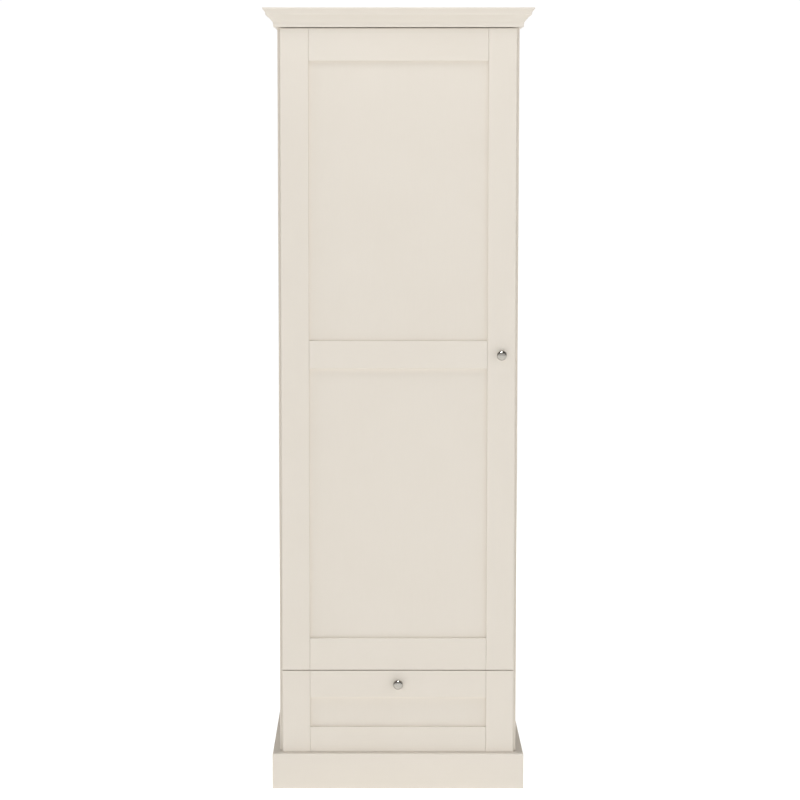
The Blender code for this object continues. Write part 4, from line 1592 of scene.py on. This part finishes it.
@dataclass
class Studio:
    """Pale floor, soft light and the camera at the photograph's angle."""

    floor_half: float = 30.0
    floor_colour: Colour = (0.86, 0.86, 0.85)
    floor_dim: float = 0.985
    floor_mottle: float = 3.0
    floor_gloss: Span = (0.85, 0.92)
    floor_relief: float = 0.00001
    glow_colour: Colour = (1.0, 1.0, 0.99)
    floor_glow: Span = (0.74, 0.95)
    glow_rise: Span = (3.0, 12.0)
    floor_fill: float = 0.31
    focal_px: float = 2598.53
    frame_px: float = 800.0
    sensor_mm: float = 36.0
    eye: tuple[float, float, float] = (-0.04909, -6.71553, 1.69896)
    pitch_degrees: float = 6.2447
    shift_x: float = 0.026725
    sight: float = 100.0
    backdrop: float = 1.02
    horizon: float = 0.22
    zenith: float = 0.08
    dome_band: Span = (0.2, 0.7)
    front_wall: float = 0.60
    front_band: Span = (-0.3, -0.7)
    low_band: Span = (0.50, 0.25)
    lamps: tuple[Lamp, ...] = (
        Lamp("near_top", (0.0, -0.8, 2.6), (0.0, -0.4, 1.4), (0.9, 0.4), 2.5),
        Lamp("high_glint", (0.0, -2.6, 4.6), (0.0, -0.25, 1.1), (0.8, 1.1), 160.0, True, False),
        Lamp("low_front", (0.0, -4.2, 0.6), (0.0, -0.25, 0.9), (3.0, 1.4), 40.0),
        Lamp("high_right", (5.9, -1.8, 7.6), (0.0, -0.25, 1.0), (3.3, 3.2), 104.0),
        Lamp("high_left", (-5.9, -1.8, 7.6), (0.0, -0.25, 1.0), (3.3, 3.2), 199.0),
        Lamp("right_side", (2.6, -2.6, 1.6), (0.0, -0.25, 1.0), (0.8, 2.0), 9.0),
        Lamp("back_right", (2.4, 3.6, 2.2), (0.0, 0.25, 1.0), (1.6, 2.0), 40.0),
        Lamp("back_left", (-2.4, 3.6, 2.2), (0.0, 0.25, 1.0), (1.6, 2.0), 40.0),
    )

    def floor_material(self) -> Material:
        """Make the floor's finish, which glows, so that it stays paler than the paint.

        The glow goes from its low to its high value as the distance from the wardrobe crosses glow_rise.
        What the floor gives to the paint as soft light is floor_fill instead.

        Returns:
            The material.
        """
        draft = Draft.open("pale_floor", Grain.Z)
        w = draft.wiring
        tone = w.noise(draft.places["Place"], self.floor_mottle, detail=2.0)
        colour = w.blend(tone, self.floor_colour, tuple(self.floor_dim * c for c in self.floor_colour))
        roughness = w.remap(tone, GLOSS_SWING, self.floor_gloss)
        draft.close(colour, roughness, tone, self.floor_relief, Emission_Color=(*self.glow_colour, 1.0))
        away = w.add("VectorMath", {0: draft.places["Place"]}, operation="LENGTH").outputs["Value"]
        soft = w.add("LightPath").outputs["Is Diffuse Ray"]
        glow = w.between(soft, w.remap(away, self.glow_rise, self.floor_glow), self.floor_fill)
        w.tree.links.new(glow, draft.shader.inputs["Emission Strength"])
        return draft.material

    def floor(self) -> None:
        """Lay the flat floor, which fades into the backdrop."""
        h = self.floor_half
        mesh = bpy.data.meshes.new("floor")
        mesh.from_pydata([(-h, -h, 0), (h, -h, 0), (h, h, 0), (-h, h, 0)], [], [(0, 1, 2, 3)])
        floor = bpy.data.objects.new("floor", mesh)
        bpy.context.scene.collection.objects.link(floor)
        mesh.materials.append(self.floor_material())

    def sky(self) -> None:
        """Hang a white backdrop for the camera, with light that is dim overhead and brighter low in front.

        In direction (x, y, z) it is horizon falling to zenith with z, plus front_wall times a ramp on -y
        and a ramp on -z.
        """
        world = bpy.data.worlds.new("studio")
        world.use_nodes = True
        bpy.context.scene.world = world
        w = Wiring(world.node_tree)
        direction = w.add("SeparateXYZ", {0: w.add("TexCoord").outputs["Generated"]}).outputs
        dome = w.remap(direction["Z"], self.dome_band, (self.horizon, self.zenith))
        ahead = w.remap(direction["Y"], self.front_band, WHOLE)
        low = w.remap(direction["Z"], self.low_band, (0.0, self.front_wall))
        light = w.math("ADD", dome, w.math("MULTIPLY", ahead, low))
        strength = w.between(w.add("LightPath").outputs["Is Camera Ray"], light, self.backdrop)
        background = world.node_tree.nodes["Background"]
        background.inputs["Color"].default_value = (1.0, 1.0, 1.0, 1.0)
        world.node_tree.links.new(strength, background.inputs["Strength"])

    def camera(self) -> None:
        """Set up the camera, whose focal length, place and pitch were fitted to the photograph."""
        camera = bpy.data.cameras.new("camera")
        camera.sensor_width = self.sensor_mm
        camera.lens = self.focal_px / self.frame_px * self.sensor_mm
        camera.shift_x = self.shift_x
        camera.clip_end = self.sight
        item = bpy.data.objects.new("camera", camera)
        item.location = self.eye
        item.rotation_euler = Euler((math.radians(90.0 - self.pitch_degrees), 0.0, 0.0))
        bpy.context.scene.collection.objects.link(item)
        bpy.context.scene.camera = item

    def build(self) -> None:
        """Set the stage."""
        self.floor()
        self.sky()
        for lamp in self.lamps:
            lamp.build()
        self.camera()
        view = bpy.context.scene.view_settings
        view.view_transform, view.look, view.exposure, view.gamma = "Standard", "None", 0.0, 1.0


def wardrobe_door() -> Door:
    """Return the door with the names of its nodes."""
    rails = {
        "door_bottom_rail": (Edge.B_HIGH,),
        "door_mid_rail": (Edge.B_LOW, Edge.B_HIGH),
        "door_top_rail": (Edge.B_LOW,),
    }
    panels = ["door_lower_panel", "door_upper_panel"]
    front = FramedFront("door_left_stile", "door_right_stile", rails, panels)
    hinges = [ConcealedHinge(level) for level in ("lower", "middle", "upper")]
    return Door(front, Knob("door_knob", "door"), hinges)


def wardrobe_drawer() -> Drawer:
    """Return the drawer with the names of its nodes."""
    rails = {"drawer_front_bottom_rail": (Edge.B_HIGH,), "drawer_front_top_rail": (Edge.B_LOW,)}
    front = FramedFront("drawer_front_left_stile", "drawer_front_right_stile", rails, ["drawer_front_panel"])
    return Drawer(front, Knob("drawer_knob", "drawer"))


def main() -> None:
    """Build every sub-assembly, then the studio, and log each one as it is built."""
    logging.basicConfig(level=logging.INFO, format="%(name)s: %(message)s")
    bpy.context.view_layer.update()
    for part in (Carcass(), Cornice(), Plinth(), HangingRail(), wardrobe_door(), wardrobe_drawer(), Studio()):
        part.build()
        log.info("built %s", type(part).__name__)


if __name__ == "__main__":
    main()
